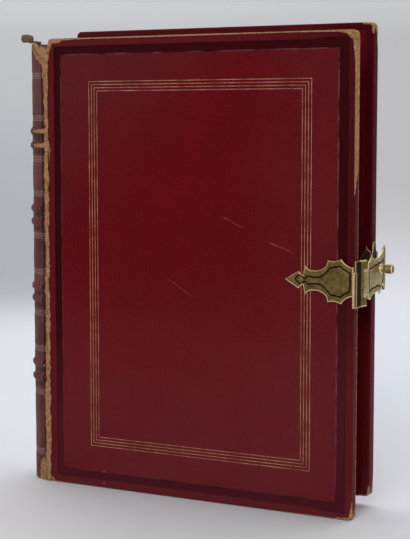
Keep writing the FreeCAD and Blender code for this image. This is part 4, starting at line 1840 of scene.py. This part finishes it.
@dataclass
class Studio:
    """The pale floor that curves up into a wall, the soft lights and the camera."""

    book: Book
    camera_place: Point = (525.28, -775.88, 227.64)
    camera_turn: Point = (84.38, 0.0, 28.06)
    lens: float = 130.39
    sensor: float = 36.0
    curve_start: float = 1.05
    curve_radius: float = 0.5
    curve_steps: int = 24
    wall_height: float = 3.0
    half_width: float = 3.5
    near_edge: float = -2.6
    book_middle: Point = (0.0, 0.0, 0.14)
    room_colour: Colour = (0.80, 0.82, 0.86, 1.0)
    room_strength: float = 0.17
    floor_pair: tuple[Colour, Colour] = ((0.77, 0.795, 0.84, 1.0), (0.82, 0.845, 0.90, 1.0))
    near_shade_pair: tuple[Colour, Colour] = ((0.79, 0.795, 0.83, 1.0), (0.72, 0.73, 0.77, 1.0))
    wall_shade_pair: tuple[Colour, Colour] = ((0.465, 0.475, 0.50, 1.0), (0.545, 0.53, 0.535, 1.0))
    top_pair: tuple[Colour, Colour] = ((0.62, 0.62, 0.63, 1.0), (0.575, 0.575, 0.58, 1.0))

    def floor(self) -> bpy.types.Object:
        """Build the sweep of floor and wall, square to the camera and clear from behind.

        Returns:
            The sweep.
        """
        profile = [(self.near_edge, 0.0), (self.curve_start, 0.0)]
        for step in range(1, self.curve_steps + 1):
            angle = math.radians(90.0 * step / self.curve_steps)
            profile.append((self.curve_start + self.curve_radius * math.sin(angle),
                            self.curve_radius * (1.0 - math.cos(angle))))
        profile.append((self.curve_start + self.curve_radius, self.wall_height))
        turn = math.radians(self.camera_turn[2])
        away = Vector((-math.sin(turn), math.cos(turn), 0.0))
        right = Vector((math.cos(turn), math.sin(turn), 0.0))
        points, faces = [], []
        for distance, height in profile:
            for side in (-1.0, 1.0):
                points.append(away * distance + right * side * self.half_width + Vector((0.0, 0.0, height)))
        for index in range(len(profile) - 1):
            faces.append((2 * index, 2 * index + 1, 2 * index + 3, 2 * index + 2))
        mesh = bpy.data.meshes.new("studio_sweep")
        mesh.from_pydata(points, [], faces)
        mesh.polygons.foreach_set("use_smooth", [True] * len(mesh.polygons))
        material, graph, shader = principled("studio_paper")
        place = graph.add("ShaderNodeTexCoord").outputs["Object"]
        x, y, z = graph.split(place)
        back = x * away.x + y * away.y
        beside = x * right.x + y * right.y
        side = beside.step(-0.28, 0.28)
        near = back.step(0.34, -0.02)
        wall = (back + z - side * 0.36).step(0.62, 1.22)
        # The blends below paint the room's light and shade: the wall darker than the floor at its foot and lighter
        # higher up, the floor darker near the front, and each part changing from left to right.
        floor = graph.blend(side, *self.floor_pair)
        floor = graph.blend(near, floor, graph.blend(side, *self.near_shade_pair))
        upright = graph.blend(side, *self.wall_shade_pair)
        top = graph.blend(side, *self.top_pair)
        top = graph.tint(top, z.step(0.36, 0.42) * 0.16 + 1.0)
        high = graph.blend(z.step(0.08, 0.38), upright, top)
        graph.feed(shader.inputs["Base Color"], graph.blend(wall, floor, high))
        shader.inputs["Roughness"].default_value = 0.8
        shader.inputs["Specular IOR Level"].default_value = 0.2
        seen = graph.add("ShaderNodeMixShader")
        graph.feed(seen.inputs[0], graph.add("ShaderNodeNewGeometry").outputs["Backfacing"])
        graph.feed(seen.inputs[1], shader.outputs["BSDF"])
        graph.feed(seen.inputs[2], graph.add("ShaderNodeBsdfTransparent").outputs["BSDF"])
        graph.feed(material.node_tree.nodes["Material Output"].inputs["Surface"], seen.outputs["Shader"])
        mesh.materials.append(material)
        sweep = bpy.data.objects.new("studio_sweep", mesh)
        bpy.context.scene.collection.objects.link(sweep)
        return sweep

    def light(self, name: str, place: Point, target: Point, size: Flat, power: float, colour: Point) -> None:
        """Add one soft rectangular light.

        Args:
            name: The light's name.
            place: Where it stands.
            target: Where it points.
            size: Its width and height.
            power: Its power in watts.
            colour: Its colour.
        """
        lamp = bpy.data.lights.new(name, "AREA")
        lamp.shape = "RECTANGLE"
        lamp.size, lamp.size_y = size
        lamp.energy = power
        lamp.color = colour
        piece = bpy.data.objects.new(name, lamp)
        piece.location = place
        piece.rotation_euler = (Vector(target) - Vector(place)).to_track_quat("-Z", "Y").to_euler()
        bpy.context.scene.collection.objects.link(piece)

    def lights(self) -> None:
        """Add the lights and the even light of the room."""
        self.light("room_front", (0.45, -2.1, 1.3), self.book_middle, (1.3, 1.1), 28.0, (1.0, 0.98, 0.97))
        self.light("room_right", (1.9, -0.1, 0.7), self.book_middle, (0.8, 1.0), 8.0, (1.0, 0.97, 0.95))
        self.light("window_left", (-1.7, -0.15, 0.8), self.book_middle, (0.9, 1.2), 5.5, (0.98, 0.99, 1.0))
        self.light("ceiling", (-0.1, 0.75, 1.9), (0.0, 0.1, 0.0), (2.4, 1.6), 26.5, (0.97, 0.98, 1.0))
        world = bpy.data.worlds.new("room")
        world.use_nodes = True
        background = world.node_tree.nodes["Background"]
        background.inputs["Color"].default_value = self.room_colour
        background.inputs["Strength"].default_value = self.room_strength
        bpy.context.scene.world = world

    def camera(self) -> None:
        """Add the camera at the photograph's viewpoint."""
        lens = bpy.data.cameras.new("photograph_view")
        lens.sensor_fit = "HORIZONTAL"
        lens.sensor_width = self.sensor
        lens.lens = self.lens
        lens.clip_start = 0.01
        lens.clip_end = 20.0
        piece = bpy.data.objects.new("photograph_view", lens)
        piece.location = self.book.place(self.camera_place)
        piece.rotation_euler = tuple(math.radians(part) for part in self.camera_turn)
        bpy.context.scene.collection.objects.link(piece)
        bpy.context.scene.camera = piece
        bpy.context.scene.view_settings.view_transform = "Standard"

    def build(self) -> None:
        """Build the whole studio."""
        self.floor()
        self.lights()
        self.camera()


def dress_nodes(book: Book, brass: bpy.types.Material) -> None:
    """Give the CAD solids that stay their finishes.

    Args:
        book: Gives the place of the millimetres in the frame.
        brass: The finish of the pin and the rivets.
    """
    leaf_gap, behind_plates = 0.3, 1.2
    faces = (book.cover_thickness + leaf_gap, book.thickness - book.cover_thickness - behind_plates)
    leaves = Paper("stained_page_edges", Weave.LEAVES, srgb(44, 12, 14), srgb(104, 48, 44), 0.7, faces).make(book)
    board = Paper("grey_pulpboard", Weave.BOARD, srgb(104, 84, 64), srgb(150, 128, 100)).make(book)
    endpaper = Paper("maroon_endpaper", Weave.PAPER, srgb(40, 8, 12), srgb(70, 22, 28), 0.75).make(book)
    thread = Paper("head_band_thread", Weave.THREADS, srgb(110, 40, 36), srgb(190, 160, 116)).make(book)
    finishes = {"text_block": leaves, "front_board": board, "back_board": board, "front_pastedown": endpaper,
                "back_pastedown": endpaper, "head_band": thread, "clasp_rivet": brass, "catch_rivet": brass,
                "hinge_pin": brass}
    for node, material in finishes.items():
        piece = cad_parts[node]
        for slot in piece.material_slots:
            slot.material = material
        LOG.info("%s: %s", node, material.name)


def front_cover(book: Book) -> Cover:
    """Return the front cover with the wear that the photograph shows."""
    return Cover(
        "front_hide", "front_leather", "front_cover", book, book.width, 0.0, True,
        top_wear=EdgeWear(((0.0, 1.6), (14.0, 1.3), (30.0, 0.8), (60.0, 1.0), (120.0, 0.9), (165.0, 0.8),
                           (196.0, 1.2), (202.0, 2.2), (207.0, 3.2)), ((0.0, 1.6), (207.0, 2.4))),
        bottom_wear=EdgeWear(((0.0, 0.9), (60.0, 0.6), (150.0, 0.65), (196.0, 0.9), (207.0, 2.4)),
                             ((0.0, 1.2), (207.0, 1.6))),
        fore_wear=EdgeWear(((0.0, 2.0), (10.0, 0.2), (30.0, -0.3), (150.0, -0.3), (160.0, 0.0), (185.0, 0.0),
                            (198.0, 0.3), (262.0, 0.5), (272.0, 1.6), (280.0, 3.0)),
                           ((0.0, 3.0), (12.0, 0.4), (30.0, -0.3), (150.0, -0.2), (186.0, 0.2), (198.0, 4.2),
                            (205.0, 5.6), (262.0, 6.0), (280.0, 6.5))),
        joint_wear=EdgeWear(((0.0, 0.6), (40.0, 0.4), (90.0, 0.3), (200.0, 0.4), (212.0, 2.2), (216.0, 0.6),
                             (262.0, 0.6), (280.0, 2.4)), ((0.0, 7.0), (280.0, 7.0))),
        patches=(Patch(4.6, 281.0, 3.2, 0.0, 4.0, 1.2), Patch(0.0, 277.0, 0.0, 1.5, 3.4, 1.2),
                 Patch(207.0, 280.0, 0.0, 0.0, 5.8, 1.6), Patch(202.0, -1.4, 4.0, 0.0, 3.0, 1.2),
                 Patch(0.0, 0.0, 0.0, 0.0, 3.6, 1.4)),
        inside_reach=1.9)


def back_cover(book: Book) -> Cover:
    """Return the back cover, whose corners are worn and whose edges are rubbed."""
    return Cover(
        "back_hide", "back_leather", "back_cover", book, book.back_width, book.back_lift, False,
        top_wear=EdgeWear(((0.0, 0.6), (190.0, 0.3), (203.8, 2.6)), ((0.0, 0.5), (190.0, 0.5), (203.8, 3.0))),
        bottom_wear=EdgeWear(((0.0, 0.6), (190.0, 0.3), (203.8, 2.6)), ((0.0, 0.3), (190.0, 0.4), (203.8, 3.0))),
        fore_wear=EdgeWear(((0.0, 2.6), (12.0, 0.4), (266.0, 0.4), (280.0, 2.8)),
                           ((0.0, 5.5), (7.0, 1.6), (14.0, 0.3), (262.0, 0.3), (272.0, 2.0), (280.0, 6.0))),
        joint_wear=EdgeWear(((0.0, 0.8), (280.0, 1.2)), ((0.0, 7.0), (280.0, 7.0))),
        patches=(Patch(203.8, 280.0, 0.0, 0.0, 6.0, 1.5), Patch(203.8, 0.0, 0.0, 0.0, 5.0, 1.5)))


def main() -> None:
    """Build the book piece by piece, then the studio round it."""
    logging.basicConfig(level=logging.INFO, format="%(name)s: %(message)s")
    book = Book.from_frame()
    effects = Effects()
    scratches = (Scratch((120.4, 173.8), (138.9, 166.2)), Scratch((150.6, 160.2), (171.7, 152.3)),
                 Scratch((82.0, 136.5), (106.0, 123.0), 0.2))
    specks = ((40.0, 10.4, 0.8), (40.0, 3.4, 0.7))
    front_marks = CoverTooling(book.width, book.height, scratches=scratches, specks=specks)
    back_marks = CoverTooling(book.back_width, book.height, face=book.thickness, lift=book.back_lift)
    crimson = srgb(97, 2, 13), srgb(104, 5, 17)
    front_hide = Hide("front_crimson_hide", *crimson).make(book, effects, front_marks)
    back_hide = Hide("back_crimson_hide", *crimson).make(book, effects, back_marks)
    spine_hide = Hide("faded_spine_hide", srgb(86, 46, 44), srgb(110, 66, 62), grain_depth=1.4)
    spine_hide = spine_hide.make(book, effects, SpineTooling(Spine.tooled, Spine.bands))
    skin_hide = Hide("joint_skin_hide", srgb(84, 40, 36), srgb(104, 56, 46), grain_depth=1.2).make(book, effects)
    lining = Paper("torn_lining_paper", Weave.BOARD, srgb(116, 78, 50), srgb(186, 146, 100)).make(book)
    cord = Paper("dirty_cord", Weave.BOARD, srgb(52, 38, 24), srgb(136, 108, 72)).make(book)
    brass = Brass("old_brass_plate").make(book, effects)
    bright = Brass("rubbed_brass_strap", srgb(146, 130, 84), srgb(182, 164, 114), srgb(232, 208, 160))
    bright = bright.make(book, effects)
    front_cover(book).build(front_hide)
    back_cover(book).build(back_hide)
    Spine(book).build(spine_hide, lining)
    JointSkin("front_joint_skin", "front_cover", book, True, 1.5, 270.0).build(skin_hide)
    JointSkin("back_joint_skin", "back_cover", book, False, 8.0, 276.0).build(skin_hide)
    HeadcapCore(book).build(cord)
    Clasp(book).build(brass, bright)
    dress_nodes(book, brass)
    Studio(book).build()
    LOG.info("sizes written")


if __name__ == "__main__":
    main()
